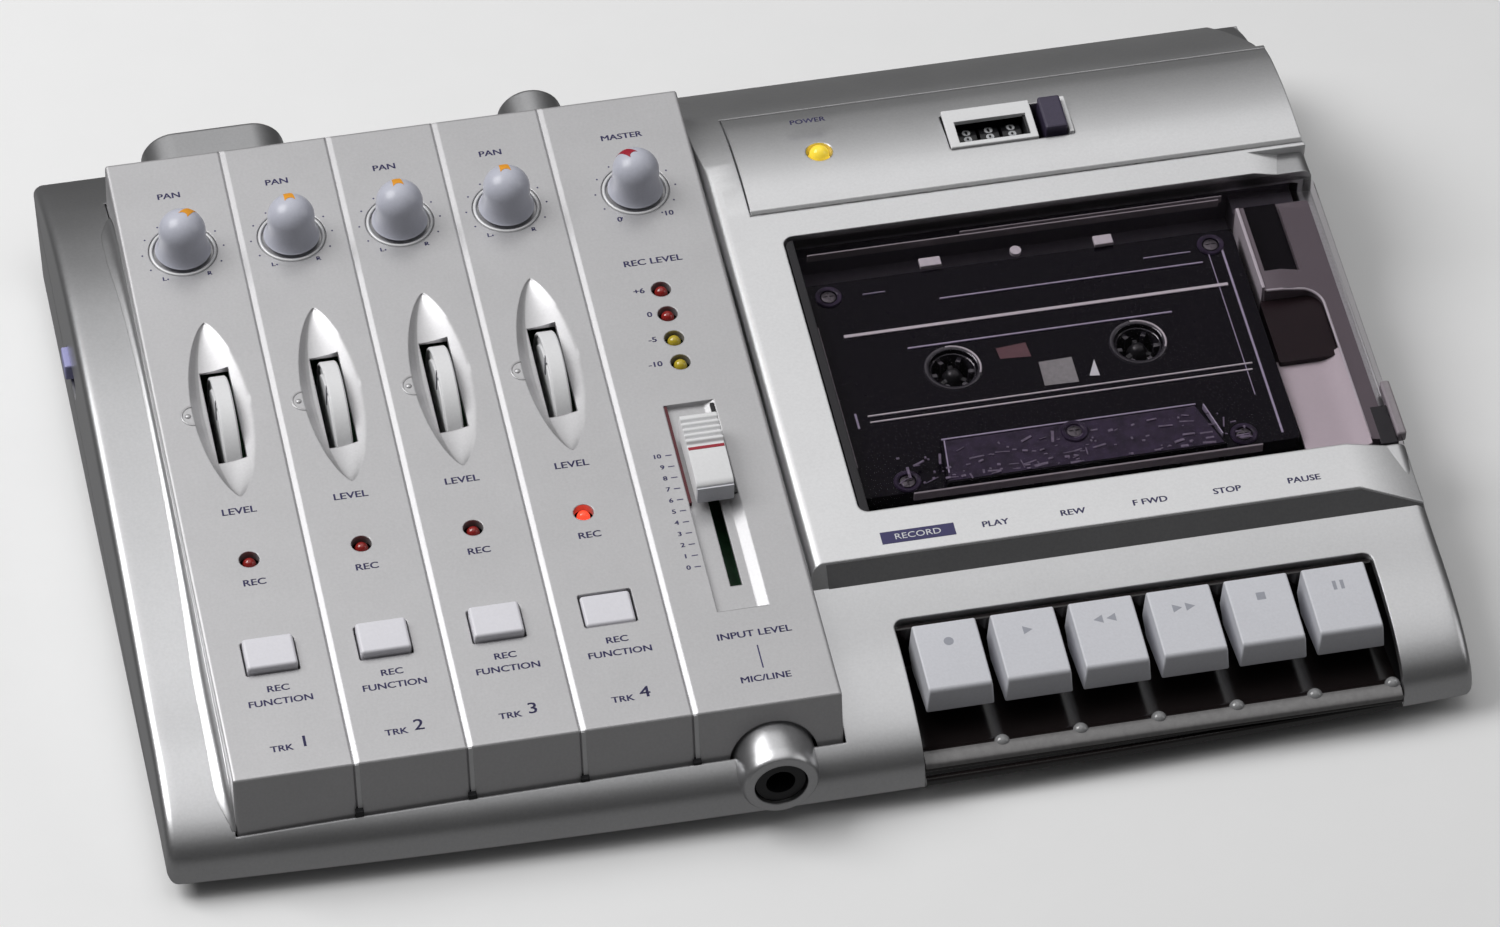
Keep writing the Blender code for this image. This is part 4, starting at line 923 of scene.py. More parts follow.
def make_knob(name, x, body, finish, angle):
    """A domed knob with a painted pointer that runs over its edge."""
    top, base, height, crown = KNOB_SIZE
    knob = lathe(f"{name}_cap", dome_profile(top, base, height, crown), (x, KNOB_V, 0.2), steps=72)
    piece(knob, KNOB, body, (name,), smooth=50)
    place = on_panel(x, KNOB_V, 0.2) @ Matrix.Rotation(math.radians(angle), 4, "Z")
    rows = []
    for i, lean in enumerate(angles(14, 88, 12)):
        out = top * math.sin(lean) + 0.06
        up = height - crown + crown * math.cos(lean) + 0.05
        half = 1.2 - 0.55 * i / 12
        rows.append([(half * side, math.sqrt(max(0.0, out ** 2 - (half * side) ** 2)), up)
                     for side in (-1, -0.5, 0, 0.5, 1)])
    piece(grid(f"{name}_pointer", rows, 0.12, place), finish, body, smooth=60)


def make_knobs():
    for number, x in enumerate(COLUMNS, 1):
        make_knob(f"pan_knob_{number}", x, f"pan_knob_{number}", ORANGE, -42 if number == 1 else 2)
    make_knob("master_knob", MASTER_X, "master_knob", CRIMSON, 38)
    # Raised rings round the knobs' feet, in lighter silver as painted highlight.
    seat = [(6.75, -0.9), (6.75, -0.15), (7.0, 0.1), (7.35, 0.1), (7.6, -0.15), (7.6, -0.9)]
    seats = [lathe("seat", seat, (x, KNOB_V, 0), steps=72, ring=True) for x in (*COLUMNS, MASTER_X)]
    piece(joined("knob_seat_highlights", seats), SILVER_HIGHLIGHT, smooth=50)


def make_wheels():
    half = WHEEL_WIDTH / 2
    side = [(0.0, half), (12.6, half), (12.9, half - 0.5), (14.6, half - 0.5), (14.9, half), (15.2, half),
            (WHEEL_RADIUS, half - 0.3)]
    profile = [(radius, -height) for radius, height in side] + side[::-1]
    for number, x in enumerate(COLUMNS, 1):
        middle = x + WHEEL_OFFSET + 0.4
        name = f"level_wheel_{number}"
        wheel = lathe(f"{name}_rim", profile, (middle, WHEEL_V, -11.5), "X", steps=96)
        piece(wheel, WHITE, name, (name,), smooth=30)
        tick = block(f"{name}_tick", (middle - 2.05, WHEEL_V - 0.35, -2.2),
                     (middle - 1.9, WHEEL_V + 0.35, 3.6))
        piece(tick, DARK_INK, name)


def make_buttons():
    width, length = REC_BUTTON
    for number, x in enumerate(COLUMNS, 1):
        top = 2.0 if number < 4 else 0.2
        name = f"rec_button_{number}"
        cap = block(f"{name}_cap", (x - width / 2, REC_BUTTON_V - length / 2, top - 8),
                    (x + width / 2, REC_BUTTON_V + length / 2, top - 0.05), radius=0.75, segments=4)
        piece(cap, BUTTON, name, (name,), smooth=50)


def fader_outline(low_v, high_v, ribs=5):
    """The cap's side view: a smooth front half and a ribbed rear half."""
    outline = [(low_v, 0.5), (low_v + 0.5, 5.4), (low_v + 1.6, 6.2), (FADER_V - 0.5, 6.6),
               (FADER_V + 0.4, 6.6)]
    start = FADER_V + 1.2
    pitch = (high_v - 1.4 - start) / ribs
    for i in range(ribs):
        v = start + i * pitch
        outline += [(v, 6.65), (v + 0.25 * pitch, 7.35), (v + 0.6 * pitch, 7.35), (v + 0.85 * pitch, 6.75)]
    return [*outline, (high_v - 1.2, 6.9), (high_v - 0.4, 6.2), (high_v, 0.5)]


def make_fader():
    """The fader's cap and stem, its red line, a grey plate on its front as painted shade, and dark strips in
    its trough as painted shadows of the cap.
    """
    half_width = FADER_CAP[0] / 2
    low_v, high_v = FADER_V - FADER_CAP[1] / 2, FADER_V + FADER_CAP[1] / 2
    outline = fader_outline(low_v, high_v)
    cap = prism("fader_cap_body", outline, FADER_X - half_width, FADER_X + half_width, PANEL)
    bevel(cap, 0.22, 2, 40)
    weld(cap, block("stem", (FADER_X - 0.8, FADER_V - 2.5, -9.0), (FADER_X + 0.8, FADER_V + 2.5, 2.0)))
    piece(cap, WHITE, "fader", ("fader_cap",), smooth=40)
    line = block("fader_line", (FADER_X - 4.0, FADER_V - 0.35, 6.4), (FADER_X + 4.0, FADER_V + 0.45, 6.68))
    piece(line, CRIMSON, "fader")
    # A greyer plate on the cap's front face: painted shade.
    front = block("fader_front_shade", (FADER_X - 4.1, low_v - 0.12, 0.7), (FADER_X + 4.1, low_v + 0.3, 5.2),
                  radius=0.1)
    piece(front, KEY, "fader")
    # Dark strips at the trough floor beside the cap: painted shadows of the cap, reddish on the left.
    left = block("fader_shadow_left", (FADER_X - 5.68, 58.5, -1.19), (FADER_X - 5.0, 86.8, -0.1))
    piece(left, DARK_RED_SHADOW)
    right = block("fader_shadow_right", (FADER_X + 4.5, 59.5, -1.19), (FADER_X + 5.4, 86.0, 0.1))
    piece(right, BLACK)


def led_dome(name, x, v, top, finish, radius=1.5):
    """A round LED with its collar, its crown at w = top."""
    crown = [(radius * math.sin(a), top - radius + radius * math.cos(a)) for a in angles(0, 90, 6)]
    collar = [(radius, top - 4.0), (radius + 0.5, top - 4.0), (radius + 0.5, top - 5.0), (0.0, top - 5.0)]
    piece(lathe(name, [*crown, *collar], (x, v, 0), steps=32), finish)


def make_leds():
    for number, x in enumerate(COLUMNS, 1):
        led_dome(f"rec_led_{number}", x, REC_LED_V, -0.2, RED_LED_LIT if number == 4 else RED_LED)
    for number, v in enumerate(LEVEL_LED_V, 1):
        led_dome(f"level_led_{number}", LEVEL_LED_X, v, 0.25, YELLOW_LED if number < 3 else RED_LED)
    led_dome("power_led", *POWER_LED, -1.6, YELLOW_LED_LIT, radius=2.3)
    for name, low, high in (("rec_led_board", (-120, 56, -9.2), (-36, 64, -8.0)),
                            ("level_led_board", (-15.5, 95, -9.2), (-7.5, 125.5, -8.0))):
        board = block(f"{name}_plate", low, high, radius=0.2, segments=1)
        piece(board, BOARD, replaces=(name,))


# ------------------------------------------------------------------ lettering
def panel_words():
    """(words, size, x, v) of all the lettering on the mixer panel."""
    words = [("MASTER", 2.3, MASTER_X, 168.8), ("0", 2.0, -16.6, 143.6), ("10", 2.0, -5.4, 143.6),
             ("REC LEVEL", 2.5, MASTER_X - 0.4, 129.9), ("INPUT LEVEL", 2.5, MASTER_X, 19.8),
             ("MIC/LINE", 2.4, MASTER_X, 7.3)]
    for number, x in enumerate(COLUMNS, 1):
        words += [("PAN", 2.4, x - 0.6, 169.0), ("L", 1.6, x - 5.4, 144.2), ("R", 1.6, x + 4.8, 144.2),
                  ("LEVEL", 2.6, x, 74.0), ("REC", 2.5, x + 0.1, 53.4), ("REC", 2.4, x + 0.3, 23.4),
                  ("FUNCTION", 2.4, x + 0.3, 19.8), ("TRK", 2.3, x - 1.6, 7.0),
                  (str(number), 4.2, x + 3.4, 8.0)]
    words += [("+6", 2.1, -16.6, 121.4), ("0", 2.1, -15.6, 114.1), ("-5", 2.1, -16.4, 106.6),
              ("-10", 2.1, -17.2, 99.3)]
    for step in range(11):
        x = -21.6 - (0.6 if step == 0 else 0)
        words.append((str(10 - step), 1.7, x, FADER_SCALE_V - FADER_SCALE_STEP * step))
    return words


def scale_marks():
    """Ticks beside the fader, the line to its jack, and the dots around the knobs."""
    marks = []
    for step in range(11):
        v = FADER_SCALE_V - FADER_SCALE_STEP * step
        marks.append(block("tick", (-20.3, v - 0.12, 0.0), (-18.9, v + 0.12, 0.04)))
    marks.append(block("link", (MASTER_X - 0.15, 10.0, 0.0), (MASTER_X + 0.15, 16.4, 0.04)))
    radius = 9.2
    marks += [rod("dot", (x + radius * math.sin(a), KNOB_V + radius * math.cos(a), 0.0), 0.22, 0.04, steps=10)
              for x in (*COLUMNS, MASTER_X) for a in angles(-150, 150, 10)]
    return marks


def make_lettering():
    made = [text_mesh("words", words, size, on_panel(x, v), 1.15, 0.12)
            for words, size, x, v in panel_words()]
    piece(joined("panel_lettering", made + scale_marks()), INK)
    labels = ("PLAY", "REW", "F FWD", "STOP", "PAUSE")
    made = [text_mesh("words", words, 2.3, on_panel(47.3 + KEY_PITCH * i, 43.1, DECK_W + 0.02), 1.15, 0.12)
            for i, words in enumerate(labels)]
    made.append(text_mesh("words", "POWER", 1.9, on_panel(31.6, 167.4, -1.62), 1.25, 0.10))
    made.append(block("record_box", (21.8, 41.5, DECK_W), (38.3, 44.9, DECK_W + 0.04)))
    piece(joined("deck_lettering", made), INK)
    word = text_mesh("record_word", "RECORD", 2.3, on_panel(30.0, 43.15, DECK_W + 0.05), 1.15)
    piece(word, PALE_INK)


# ------------------------------------------------------------------ keys
def symbol_marks(kinds, place):
    """Flat transport symbols, side by side."""
    shapes = {"circle": [(1.1 * math.cos(math.tau * k / 24), 1.1 * math.sin(math.tau * k / 24))
                         for k in range(24)],
              "right": [(-0.9, -1.1), (1.2, 0.0), (-0.9, 1.1)],
              "left": [(0.9, -1.1), (0.9, 1.1), (-1.2, 0.0)],
              "square": [(-1, -1), (1, -1), (1, 1), (-1, 1)],
              "bar": [(-0.4, -1.2), (0.4, -1.2), (0.4, 1.2), (-0.4, 1.2)]}
    marks = []
    for i, kind in enumerate(kinds):
        shift = (i - (len(kinds) - 1) / 2) * (1.7 if kind == "bar" else 2.9)
        marks.append(slab("mark", [(x + shift, y) for x, y in shapes[kind]], -0.1, 0.03, place))
    return marks


def make_keys():
    half = KEY_WIDTH / 2
    top = curve_through([(-91.4, 19.3), (-86.0, 20.15), (-80.0, 20.95), (-74.4, 21.6)], 4)
    outline = [(-92.2, 12.9), (-92.0, 18.4), *top, (-73.8, 21.0), (-73.8, 14.4), (-78.0, 11.6)]
    slope = Matrix.Rotation(math.atan2(21.6 - 19.3, 91.4 - 74.4), 4, "X")
    shaft_y, shaft_z = KEY_SHAFT
    for x, (key, symbols) in zip(KEY_X, KEY_SYMBOLS.items()):
        name = f"key_{key}"
        cap = prism(f"{name}_cap", outline, x - half, x + half)
        for vertex in cap.data.vertices:
            if vertex.co.z > KEY_SHOULDER_Z * MM:
                vertex.co.x = x * MM + (vertex.co.x - x * MM) * KEY_TAPER
        bevel(cap, 1.0, 4, 40)
        lever = prism("lever", [(-76.0, 13.6), (-76.0, 17.6), (shaft_y, 17.2), (shaft_y, 12.0)], x - 3, x + 3)
        ring = rod("ring", (x - 3, shaft_y, shaft_z), 3.2, 6.0, "X", WORLD)
        weld(cap, lever, ring)
        carve(cap, rod("bore", (x - 8, shaft_y, shaft_z), 1.75, 16.0, "X", WORLD))
        piece(cap, KEY, name, (name,), smooth=40)
        marks = symbol_marks(symbols.split(), Matrix.Translation((x, -79.6, 20.99)) @ slope)
        piece(joined(f"{name}_symbol", marks), KEY_INK, name)


def make_key_well():
    """The liner under the keys with its bumps, the ledge in front of them and the lip of the pocket; the
    bumps and ledge are lighter grey as painted reflection on their glossy black.
    """
    low, high = POCKET[0] + 0.35, POCKET[1] - 0.35
    outline = [(-103.4, 6.4), (-103.4, 7.0), (-102.9, 7.6), (-101.2, 8.3), (-99.0, 8.4), (-98.2, 8.0),
               (-96.6, 7.4), (-72.6, 7.3), (-72.6, 19.2), (-71.3, 19.2), (-71.3, 6.4)]
    well = prism("key_well_liner", outline, low, high)
    carve(well, *(block("slot", (x - 4, -76, 8.6), (x + 4, -68, 17.9), WORLD) for x in KEY_X))
    bevel(well, 0.25, 2, 30)
    dome = [(0, 1.3), (0.7, 1.2), (1.3, 0.8), (1.7, 0.2), (1.8, -0.8), (0, -0.8)]
    bumps = [lathe("bump", dome, (x + 0.5 * KEY_PITCH - 1.0, -99.3, 8.5), "Z", WORLD, 28) for x in KEY_X]
    piece(joined("well_bumps", bumps), BUMP_SHEEN_GREY, smooth=60)
    piece(well, GLOSS_BLACK, replaces=("key_well",), smooth=40)
    ledge = prism("well_ledge", [(-103.3, 6.8), (-103.1, 8.2), (-101.8, 8.9), (-99.4, 8.9), (-99.0, 6.8)],
                  low + 0.1, high - 0.1)
    piece(bevel(ledge, 0.3, 2, 30), LEDGE_SHEEN_GREY)
    rings = []
    for x in spaced(low, high, 24):
        front = bowed(x, -HALF_DEPTH + FRONT_BOW + 0.75)
        rings.append([(x, front, CASE_BOTTOM), (x, front, 5.3), (x, front + 0.4, 5.7), (x, front + 1.3, 5.7),
                      (x, front + 1.3, CASE_BOTTOM)])
    piece(loft("pocket_lip", rings), GLOSS_BLACK)


# ------------------------------------------------------------------ door, cassette and transport
def make_door():
    """The clear door with its ribs, black left edge, latch and finger tab."""
    left, front, rear = DOOR[0] + 0.4, DOOR[1] + 0.4, DOOR[2] - 0.8
    right = HALF_WIDTH - 0.9
    door = slab("door_window", rounded((left, front), (right, rear), (0.8, 2.0, 2.0, 0.8)), DECK_W - 5.0,
                DECK_W + 1)
    inner = slab("inner", rounded((left + 2.0, front + 2.0), (right - 1.6, rear - 2.0), 1.2), DECK_W - 30,
                 DECK_W - 2.0)
    carve(inner, crease_cutter("crease", 2.0))
    flat = block("flat", (-50, 0, DECK_W), (300, 300, 60))
    carve(door, flat, crease_cutter("crease", 0.0), inner)
    bevel(door, 0.35, 3, 28)
    piece(door, SMOKE, "door", ("cassette_door",))
    # The ribs are real mouldings; their lighter grey is partly painted highlight, the first one on the lit
    # rim edge.
    ribs = [block("rib", (left + 2.05, 66.0, -7.4), (left + 2.5, 108.0, -5.1), radius=0.15),
            block("rib", (left + 4.5, rear - 4.0, -7.2), (left + 100.0, rear - 3.6, -5.1), radius=0.12),
            block("rib", (left + 40.0, rear - 2.9, -7.2), (left + 101.0, rear - 2.6, -5.1), radius=0.12),
            block("rib", (left + 13.0, front + 4.4, -7.4), (left + 92.0, front + 4.9, -5.1), radius=0.12)]
    piece(joined("door_ribs", ribs), RIB_GREY_AND_HIGHLIGHT, "door")
    outline = rounded((left + 0.02, front + 0.02), (left + 1.9, rear - 0.02), (0.0, 1.9, 1.9, 0.0))
    piece(slab("door_edge", outline, DECK_W - 4.9, DECK_W - 0.45), BLACK, "door")
    latch = block("door_latch", (right - 4.6, front + 2.6, DECK_W - 7.8),
                  (right - 0.5, front + 13.8, DECK_W - 5.6), radius=0.3)
    piece(latch, BLACK, "door")
    tab = block("door_tab", (right - 0.6, front + 4.0, DECK_W - 7.4),
                (HALF_WIDTH + 0.7, front + 20.0, DECK_W - 4.4), radius=0.6)
    piece(tab, RIB_GREY_AND_HIGHLIGHT, "door")


def rail(name, path, radius, sides=8):
    """A thin round rail that follows (x, v, w) points."""
    rings = []
    for index, point in enumerate(path):
        near, far = Vector(path[max(0, index - 1)]), Vector(path[min(len(path) - 1, index + 1)])
        ahead = (far - near).normalized()
        side = ahead.cross(Vector((0, 0, 1))).normalized()
        up = side.cross(ahead)
        rings.append([tuple(Vector(point) + side * radius * math.cos(t) + up * radius * math.sin(t))
                      for t in (math.tau * k / sides for k in range(sides))])
    return loft(name, rings, PANEL)


def make_bridge():
    """The grey deck floor and the bridge beside the cassette, seen through the door."""
    corner_x, corner_v, corner_radius = BRIDGE_RECESS
    edge_x, edge_v = corner_x + corner_radius, corner_v + corner_radius
    plate = slab("bridge_plate", rounded((123.0, 56.0), (140.4, 129.6), (0.6, 0.6, 0.0, 0.0)), -15.5, -5.9)
    carve(plate, crease_cutter("crease", 3.0),
          block("hinge_relief", (115.0, 126.9, -9.2), (150.0, 140.0, 0.0)),
          block("notch", (124.4, 107.2, -30), (132.7, 140, 20)),
          slab("recess", rounded((110.0, 40.0), (edge_x, edge_v), (corner_radius, 0, 0, 0)), -30, 20))
    bevel(plate, 0.45, 3, 40)
    piece(plate, BRIDGE)
    low_v, high_v = 54.5, 84.0
    rows = []
    for v in spaced(low_v, high_v, 24):
        rows.append([(x, v, -9.8 - 0.03 * (v - low_v) + 2.275 * max(0.0, (x - 130.5) / 5.4) ** 2)
                     for x in spaced(121.6, edge_x - 0.1, 16)])
    piece(grid("deck_floor", rows, 0.8), DECK_FLOOR, smooth=60)
    # A brown-black plate in the recess's rear part: painted shade.
    recess = slab("deck_recess", rounded((122.0, 82.5), (135.7, 101.2), (3.8, 0.5, 0.5, 1.5)), -12.0, -9.2)
    piece(recess, BROWN_BLACK_SHADE)
    # A near-black floor in the notch: painted shade in the opening.
    notch = block("bridge_notch_floor", (124.5, 107.3, -10.0), (132.6, 129.3, -8.6))
    piece(notch, WELL_BLACK_AND_SHADE)
    corner = [(corner_x + corner_radius * math.cos(t), corner_v + corner_radius * math.sin(t))
              for t in angles(0, 90, 10)]
    edge = [(edge_x, 56.5), (edge_x, 70.0), (edge_x, 84.0), *corner, (127.0, edge_v), (123.4, edge_v + 0.2)]
    path = [(x, v, -6.15 - max(0.0, x - CREASE_X) * CREASE_SLOPE) for x, v in edge]
    # Pale rails along the recess edge and the holder's rib: painted highlights.
    rails = [rail("recess_edge_highlight", path, 0.32),
             block("rib", (122.5, 102.0, -14.0), (123.3, 126.8, -5.5), radius=0.2)]
    piece(joined("bridge_edge_highlights", rails), PAINTED_HIGHLIGHT)
    # A near-black liner under the cassette: black plastic darkened as painted shade inside the well.
    liner = slab("well_liner", rounded((20.6, 53.4), (140.0, 131.4), 1.0), -18.6, -17.6)
    carve(liner, *(rod("hub_hole", (x, HUB_V, -40), 8.0, 60) for x in HUBS),
          rod("capstan_hole", (96.4, 64.9, -40), 2.4, 60),
          block("head_window", (HUB_X - 42, 40.0, -30), (HUB_X + 42, 66.5, 0)))
    piece(liner, WELL_BLACK_AND_SHADE)


def cassette_clutter():
    """Guides, pins and ribs seen through the clear front of the cassette."""
    spread = random.Random(7)
    bits = []
    for _ in range(120):
        x = CASSETTE_LEFT + 10 + spread.random() * 80
        v = CASSETTE_FRONT + 0.8 + spread.random() ** 1.5 * 9.0
        long, thin = 0.2 + spread.random() ** 2 * 1.5, 0.10 + spread.random() * 0.25
        turn = spread.choice((0.0, 0.0, math.pi / 2, 0.24)) + (spread.random() - 0.5) * 0.5
        place = on_panel(x, v, CASSETTE_TOP_W + 1.5) @ Matrix.Rotation(turn, 4, "Z")
        height = 0.12 + 0.25 * spread.random()
        bits.append(block("bit", (-long, -thin, 0.0), (long, thin, height), place, 0.05, 1))
    piece(joined("cassette_clutter", bits), CLUTTER)


def cassette_shell():
    """The hollow shell with its raised front, hub holes and tape windows."""
    width, length, height = CASSETTE
    left, front, top = CASSETTE_LEFT, CASSETTE_FRONT, CASSETTE_TOP_W
    right, rear = left + width, front + length
    shell = slab("cassette_shell_body", rounded((left, front), (right, rear), 1.6), top - height, top)
    raised = [(40.4, front), (104.0, front), (99.9, 71.9), (41.6, 71.9)]
    weld(shell, slab("raised", raised, top - 3, top + 1.5))
    inside = slab("inside", rounded((left + 1.4, front + 1.4), (right - 1.4, rear - 1.4), 1.0),
                  top - height + 1.2, top - 1.2)
    holes = [rod("hub", (x, HUB_V, -40), 5.5, 60) for x in HUBS]
    windows = [block("window", (x - half, front - 5, top - 20), (x + half, front + 8, top - 0.9))
               for x, half in ((HUB_X, 8.5), (HUB_X - 24.0, 7.0), (96.4, 7.5))]
    carve(shell, inside, *holes, *windows)
    bevel(shell, 0.3, 2, 40)
    piece(shell, CASSETTE_DARK, replaces=("cassette_shell",))
    violet = slab("cassette_front", [(41.0, front + 0.5), (103.3, front + 0.5), (99.4, 71.4), (42.2, 71.4)],
                  top + 1.5, top + 1.58)
    piece(violet, CASSETTE_VIOLET)


def cassette_ridges():
    """Painted highlights: pale bars across the shell, and dimmer lilac lines on its moulded edges."""
    top = CASSETTE_TOP_W
    bright = [(27.4, 116.0, 106.85, 0.9), (27.6, 115.6, 82.75, 0.42), (27.8, 115.2, 80.9, 0.42)]
    bars = [(51.0, 112.0, 114.3, 0.4), (40.7, 101.5, 100.9, 0.45), (41.8, 99.7, 71.85, 0.4),
            (99.0, 110.0, 117.9, 0.3), (34.2, 39.4, 118.6, 0.25)]
    uprights = [(117.2, 61.5, 118.5, 0.5), (113.9, 73.5, 116.5, 0.2), (25.0, 79.5, 84.0, 0.5)]
    shine = [block("ridge", (x0, v - wide / 2, top - 0.1), (x1, v + wide / 2, top + 0.3), radius=0.12)
             for x0, x1, v, wide in bright]
    piece(joined("cassette_ridge_highlights", shine), PAINTED_HIGHLIGHT)
    ridges = []
    for x0, x1, v, wide in bars:
        high = top + (1.75 if v < 72 else 0.3)
        ridges.append(block("ridge", (x0, v - wide / 2, top - 0.1), (x1, v + wide / 2, high), radius=0.1))
    ridges += [block("ridge", (x - wide / 2, low, top - 0.1), (x + wide / 2, high, top + 0.25), radius=0.08)
               for x, low, high, wide in uprights]
    for x, turn in ((101.4, 0.24), (42.4, -0.1)):
        place = on_panel(x, 71.6, 0) @ Matrix.Rotation(turn, 4, "Z")
        ridges.append(block("slant", (-0.15, -9.5, top), (0.15, 0, top + 1.7), place, 0.08))
    piece(joined("cassette_ridges", ridges), CASSETTE_EDGE_HIGHLIGHT)


def cassette_marks():
    """The window between the hubs with tape mark and leader, and the springs that press the shell."""
    top = CASSETTE_TOP_W
    marks = [(WINDOW_GREY, "grey_window", [(68.4, 84.6), (76.2, 84.4), (76.2, 91.9), (68.6, 91.7)]),
             (PALE_INK, "tape_mark", [(78.9, 85.7), (81.2, 85.4), (81.0, 90.3)]),
             (TAPE_PINK, "tape_leader", [(60.4, 94.2), (67.4, 93.7), (67.0, 98.0), (60.1, 97.4)])]
    for finish, name, outline in marks:
        piece(slab(f"cassette_{name}", outline, top, top + 0.06), finish)
    # The springs take the pale painted-highlight colour.
    pads = [block("pad", (48.6, 123.6, top + 0.1), (53.6, 126.2, top + 1.2), radius=0.25),
            block("pad", (88.9, 123.0, top + 0.1), (93.3, 125.8, top + 1.2), radius=0.25),
            rod("oval", (70.9, 124.9, top + 0.1), 1.3, 0.9, steps=24)]
    piece(joined("holder_springs", pads), PAINTED_HIGHLIGHT)


def cassette_screws():
    """Five cross-head screws, each in a round boss; the last one stands on the raised front."""
    boss = [(2.0, -0.2), (2.0, 0.25), (2.35, 0.45), (2.9, 0.45), (3.1, 0.2), (3.1, -0.2)]
    head = [(0, 0.12), (1.1, 0.1), (1.6, -0.05), (1.8, -0.4), (0, -0.4)]
    long, thin = 1.2, 0.22
    for number, (x, v, rise) in enumerate(CASSETTE_SCREWS, 1):
        w = CASSETTE_TOP_W + rise
        rim = lathe(f"cassette_boss_{number}", boss, (x, v, w), steps=32, ring=True)
        piece(rim, CASSETTE_VIOLET)
        screw = lathe(f"cassette_screw_{number}", head, (x, v, w + 0.2), steps=28)
        carve(screw, *(block("cross", (x - across, v - along, w + 0.1), (x + across, v + along, w + 2))
                       for across, along in ((long, thin), (thin, long))))
        piece(screw, DARK_STEEL)


def make_cassette():
    """The clear cassette: shell, small parts inside, ridges, marks, screws, hub rims, rollers and pad."""
    cassette_shell()
    cassette_clutter()
    cassette_ridges()
    cassette_marks()
    cassette_screws()
    top = CASSETTE_TOP_W
    hub_rim = [(5.5, -1.2), (5.5, 0.1), (5.9, 0.35), (6.4, 0.35), (6.7, 0.0), (6.7, -0.3)]
    for x in HUBS:
        rim = lathe("cassette_hub_rim", hub_rim, (x, HUB_V, top), steps=64, ring=True)
        piece(rim, CASSETTE_GLOSS)
        # A pale crescent on each hub rim's top and right: painted highlight.
        arc = [(x + 6.2 * math.cos(t), HUB_V + 6.2 * math.sin(t), top + 0.35) for t in angles(-25, 95, 10)]
        piece(rail("cassette_hub_highlight", arc, 0.22), PAINTED_HIGHLIGHT)
    roller = [(0, 0.0), (2.9, 0.0), (2.9, -5.6), (0, -5.6)]
    guides = [lathe("roller", roller, (x, CASSETTE_FRONT + 8.0, top - 1.6), steps=28)
              for x in (CASSETTE_LEFT + 9.0, CASSETTE_LEFT + CASSETTE[0] - 9.0)]
    piece(joined("cassette_guide_rollers", guides), WHITE)
    pad = block("cassette_pressure_pad", (HUB_X - 6, CASSETTE_FRONT + 8.6, top - 6.5),
                (HUB_X + 6, CASSETTE_FRONT + 10.4, top - 2.2), radius=0.3)
    piece(pad, BRASS)


def make_reels():
    """Tape packs and drive spindles, with the hub teeth that the spindle's fins drive."""
    top = CASSETTE_TOP_W
    ring = [(10.7, -1.7), (10.7, -7.2), (4.9, -7.2), (4.9, -0.9), (5.1, -0.8), (5.25, -0.9), (5.25, -1.7)]
    axle = [(0.0, -1.0), (0.9, -1.1), (1.5, -1.6), (2.4, -3.2), (2.5, -12.0), (0, -12.0)]
    for x, side, radius in ((HUBS[0], "supply", 23.0), (HUBS[1], "takeup", 13.0)):
        body, pack_name, spindle = f"{side}_reel", f"{side}_tape", f"{side}_spindle"
        wound = [(10.8, -1.9), (radius - 0.2, -1.9), (radius, -2.1), (radius, -6.8), (radius - 0.2, -7.0),
                 (10.8, -7.0)]
        pack = lathe(f"{pack_name}_pack", wound, (x, HUB_V, top), steps=96, ring=True)
        piece(pack, TAPE, body, (pack_name,), smooth=30)
        hub = lathe(f"{pack_name}_hub", ring, (x, HUB_V, top), steps=64, ring=True)
        middle = on_panel(x, HUB_V, 0)
        teeth = [block("tooth", (-0.6, 3.5, top - 6.4), (0.6, 5.4, top - 1.6),
                       middle @ Matrix.Rotation(turn, 4, "Z"), 0.2) for turn in angles(30, 330, 5)]
        piece(joined(f"{pack_name}_hub_ring", [hub, *teeth]), CASSETTE_GLOSS, body, smooth=30)
        shaft = lathe(f"{spindle}_shaft", axle, (x, HUB_V, top), steps=32)
        fins = [block("fin", (-0.6, 1.2, top - 8.0), (0.6, 3.3, top - 2.6),
                      middle @ Matrix.Rotation(turn, 4, "Z"), 0.2) for turn in angles(0, 240, 2)]
        piece(joined(f"{spindle}_fins", [shaft, *fins]), BLACK, body, (spindle,), smooth=40)


def assign(names, finish, width=0.0):
    """A CAD node that stays: its material and, where it is box-like, slightly rounded edges."""
    for name in names:
        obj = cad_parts[name]
        obj.data.materials.clear()
        obj.data.materials.append(finish)
        if width:
            modifier = obj.modifiers.new("edges", "BEVEL")
            modifier.width = width * MM
            modifier.segments = 2
            modifier.limit_method = "ANGLE"
            modifier.angle_limit = math.radians(40)


def keep_cad_nodes():
    assign(("bottom_case",), BLACK, 0.3)
    assign([f"foot_{end}_{side}" for end in ("front", "rear") for side in ("left", "right")], RUBBER)
    assign(("transport_chassis", "erase_head"), CHASSIS)
    assign(("flywheel", "motor", "key_shaft", "record_head", "head_carriage"), STEEL)
    assign(("motor_pulley",), BRASS)
    assign(("drive_belt", "pinch_roller"), RUBBER)
    assign(("main_pcb", "deck_pcb"), BOARD)
    assign(("front_jack", *REAR_JACKS, "dc_inlet", "counter_housing"), BLACK)
    assign([f"counter_wheel_{place}" for place in ("hundreds", "tens", "units")], BLACK)
    assign(("reset_button",), PURPLE_BLACK)
    assign(("power_slider",), LILAC)


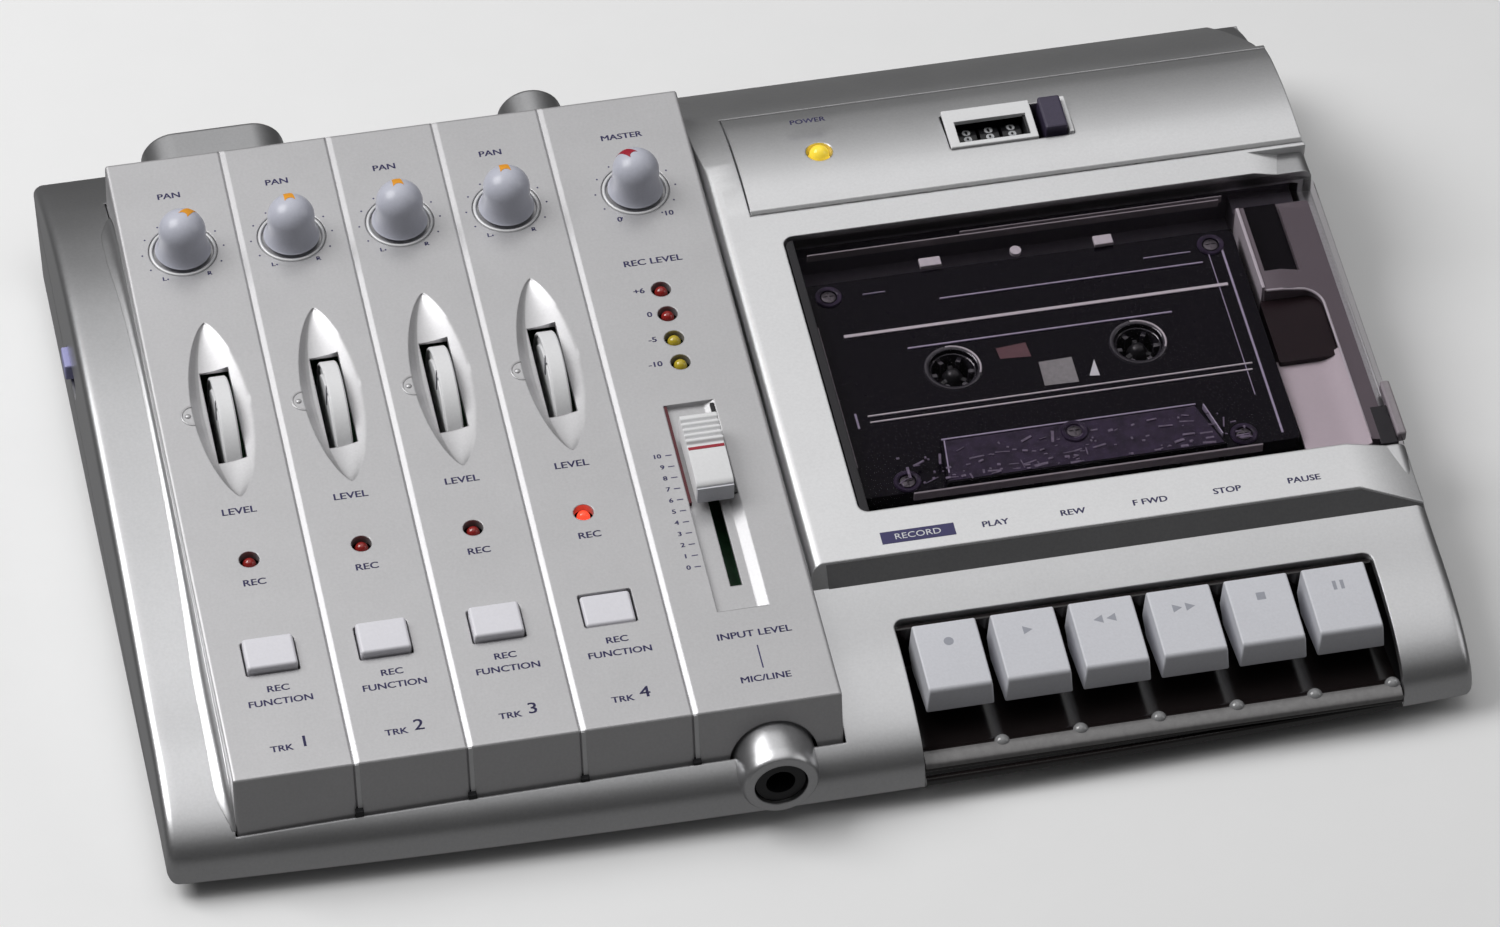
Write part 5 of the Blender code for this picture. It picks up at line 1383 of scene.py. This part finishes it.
# ------------------------------------------------------------------ studio
def area_light(name, location, target, size, power):
    data = bpy.data.lights.new(name, "AREA")
    data.shape = "RECTANGLE"
    data.size, data.size_y = size
    data.energy = power
    made = bpy.data.objects.new(name, data)
    SCENE.collection.objects.link(made)
    made.location = location
    made.rotation_mode = "QUATERNION"
    made.rotation_quaternion = (Vector(target) - Vector(location)).to_track_quat("-Z", "Y")


def make_floor():
    bm = bmesh.new()
    bmesh.ops.create_grid(bm, x_segments=4, y_segments=4, size=3.0)
    mesh = bpy.data.meshes.new("floor")
    bm.to_mesh(mesh)
    bm.free()
    floor = bpy.data.objects.new("floor", mesh)
    SCENE.collection.objects.link(floor)
    floor.location.z = -0.0003
    mesh.materials.append(material("floor_paper", (0.90, 0.90, 0.90), 0.85, grain=(60, 0.01), bump=0.01))
    floor.visible_glossy = False
    floor.visible_diffuse = False


def make_surroundings():
    """A soft grey room: dark low down and bright overhead, leaning towards the rear."""
    world = bpy.data.worlds.new("studio")
    SCENE.world = world
    world.use_nodes = True
    tree = world.node_tree
    background = tree.nodes["Background"]
    place = tree.nodes.new("ShaderNodeTexCoord")
    lean = tree.nodes.new("ShaderNodeVectorMath")
    lean.operation = "DOT_PRODUCT"
    lean.inputs[1].default_value = (0.0, 0.28, 1.0)
    ramp = tree.nodes.new("ShaderNodeValToRGB")
    spread = node(tree, "ShaderNodeMapRange")
    spread.inputs["From Min"].default_value = -1.0
    tree.links.new(place.outputs["Generated"], lean.inputs[0])
    tree.links.new(lean.outputs["Value"], spread.inputs["Value"])
    tree.links.new(spread.outputs["Result"], ramp.inputs["Fac"])
    tree.links.new(ramp.outputs["Color"], background.inputs["Color"])
    elements = ramp.color_ramp.elements
    elements[0].position, elements[1].position = ROOM_LEVELS[0][0], ROOM_LEVELS[-1][0]
    for position, _ in ROOM_LEVELS[1:-1]:
        elements.new(position)
    for element, (_, level) in zip(elements, ROOM_LEVELS):
        element.color = (level, level, level, 1)
    background.inputs["Strength"].default_value = 1.0


def make_studio():
    make_floor()
    make_surroundings()
    area_light("key_left", (-0.72, 0.30, 0.95), (0, 0, 0.02), (0.7, 0.7), 9.5)
    area_light("right_fill", (0.9, -0.1, 0.55), (0, 0, 0.02), (0.5, 0.6), 0.8)
    SCENE.view_settings.view_transform = "Standard"


def make_camera():
    """Long lens from the front left, high over the object."""
    azimuth, elevation, roll = math.radians(12.15), math.radians(44.41), math.radians(0.56)
    distance = 1.7002
    data = bpy.data.cameras.new("camera")
    data.lens = 184.44
    data.sensor_width = 36.0
    made = bpy.data.objects.new("camera", data)
    SCENE.collection.objects.link(made)
    ahead = Vector((math.sin(azimuth) * math.cos(elevation), math.cos(azimuth) * math.cos(elevation),
                    -math.sin(elevation)))
    level = Vector((math.cos(azimuth), -math.sin(azimuth), 0))
    upright = level.cross(ahead)
    across = level * math.cos(roll) + upright * math.sin(roll)
    upward = upright * math.cos(roll) - level * math.sin(roll)
    place = Vector((0.00005, -0.0165, 0.020)) - ahead * distance
    columns = Matrix((across, upward, -ahead)).transposed().to_4x4()
    made.matrix_world = Matrix.Translation(place) @ columns
    SCENE.camera = made


make_case()
make_bosses()
make_deck_block()
make_step()
make_cover()
make_counter()
make_panel()
make_panel_trims()
make_knobs()
make_wheels()
make_buttons()
make_fader()
make_leds()
make_lettering()
make_keys()
make_key_well()
make_door()
make_bridge()
make_cassette()
make_reels()
keep_cad_nodes()
make_studio()
make_camera()
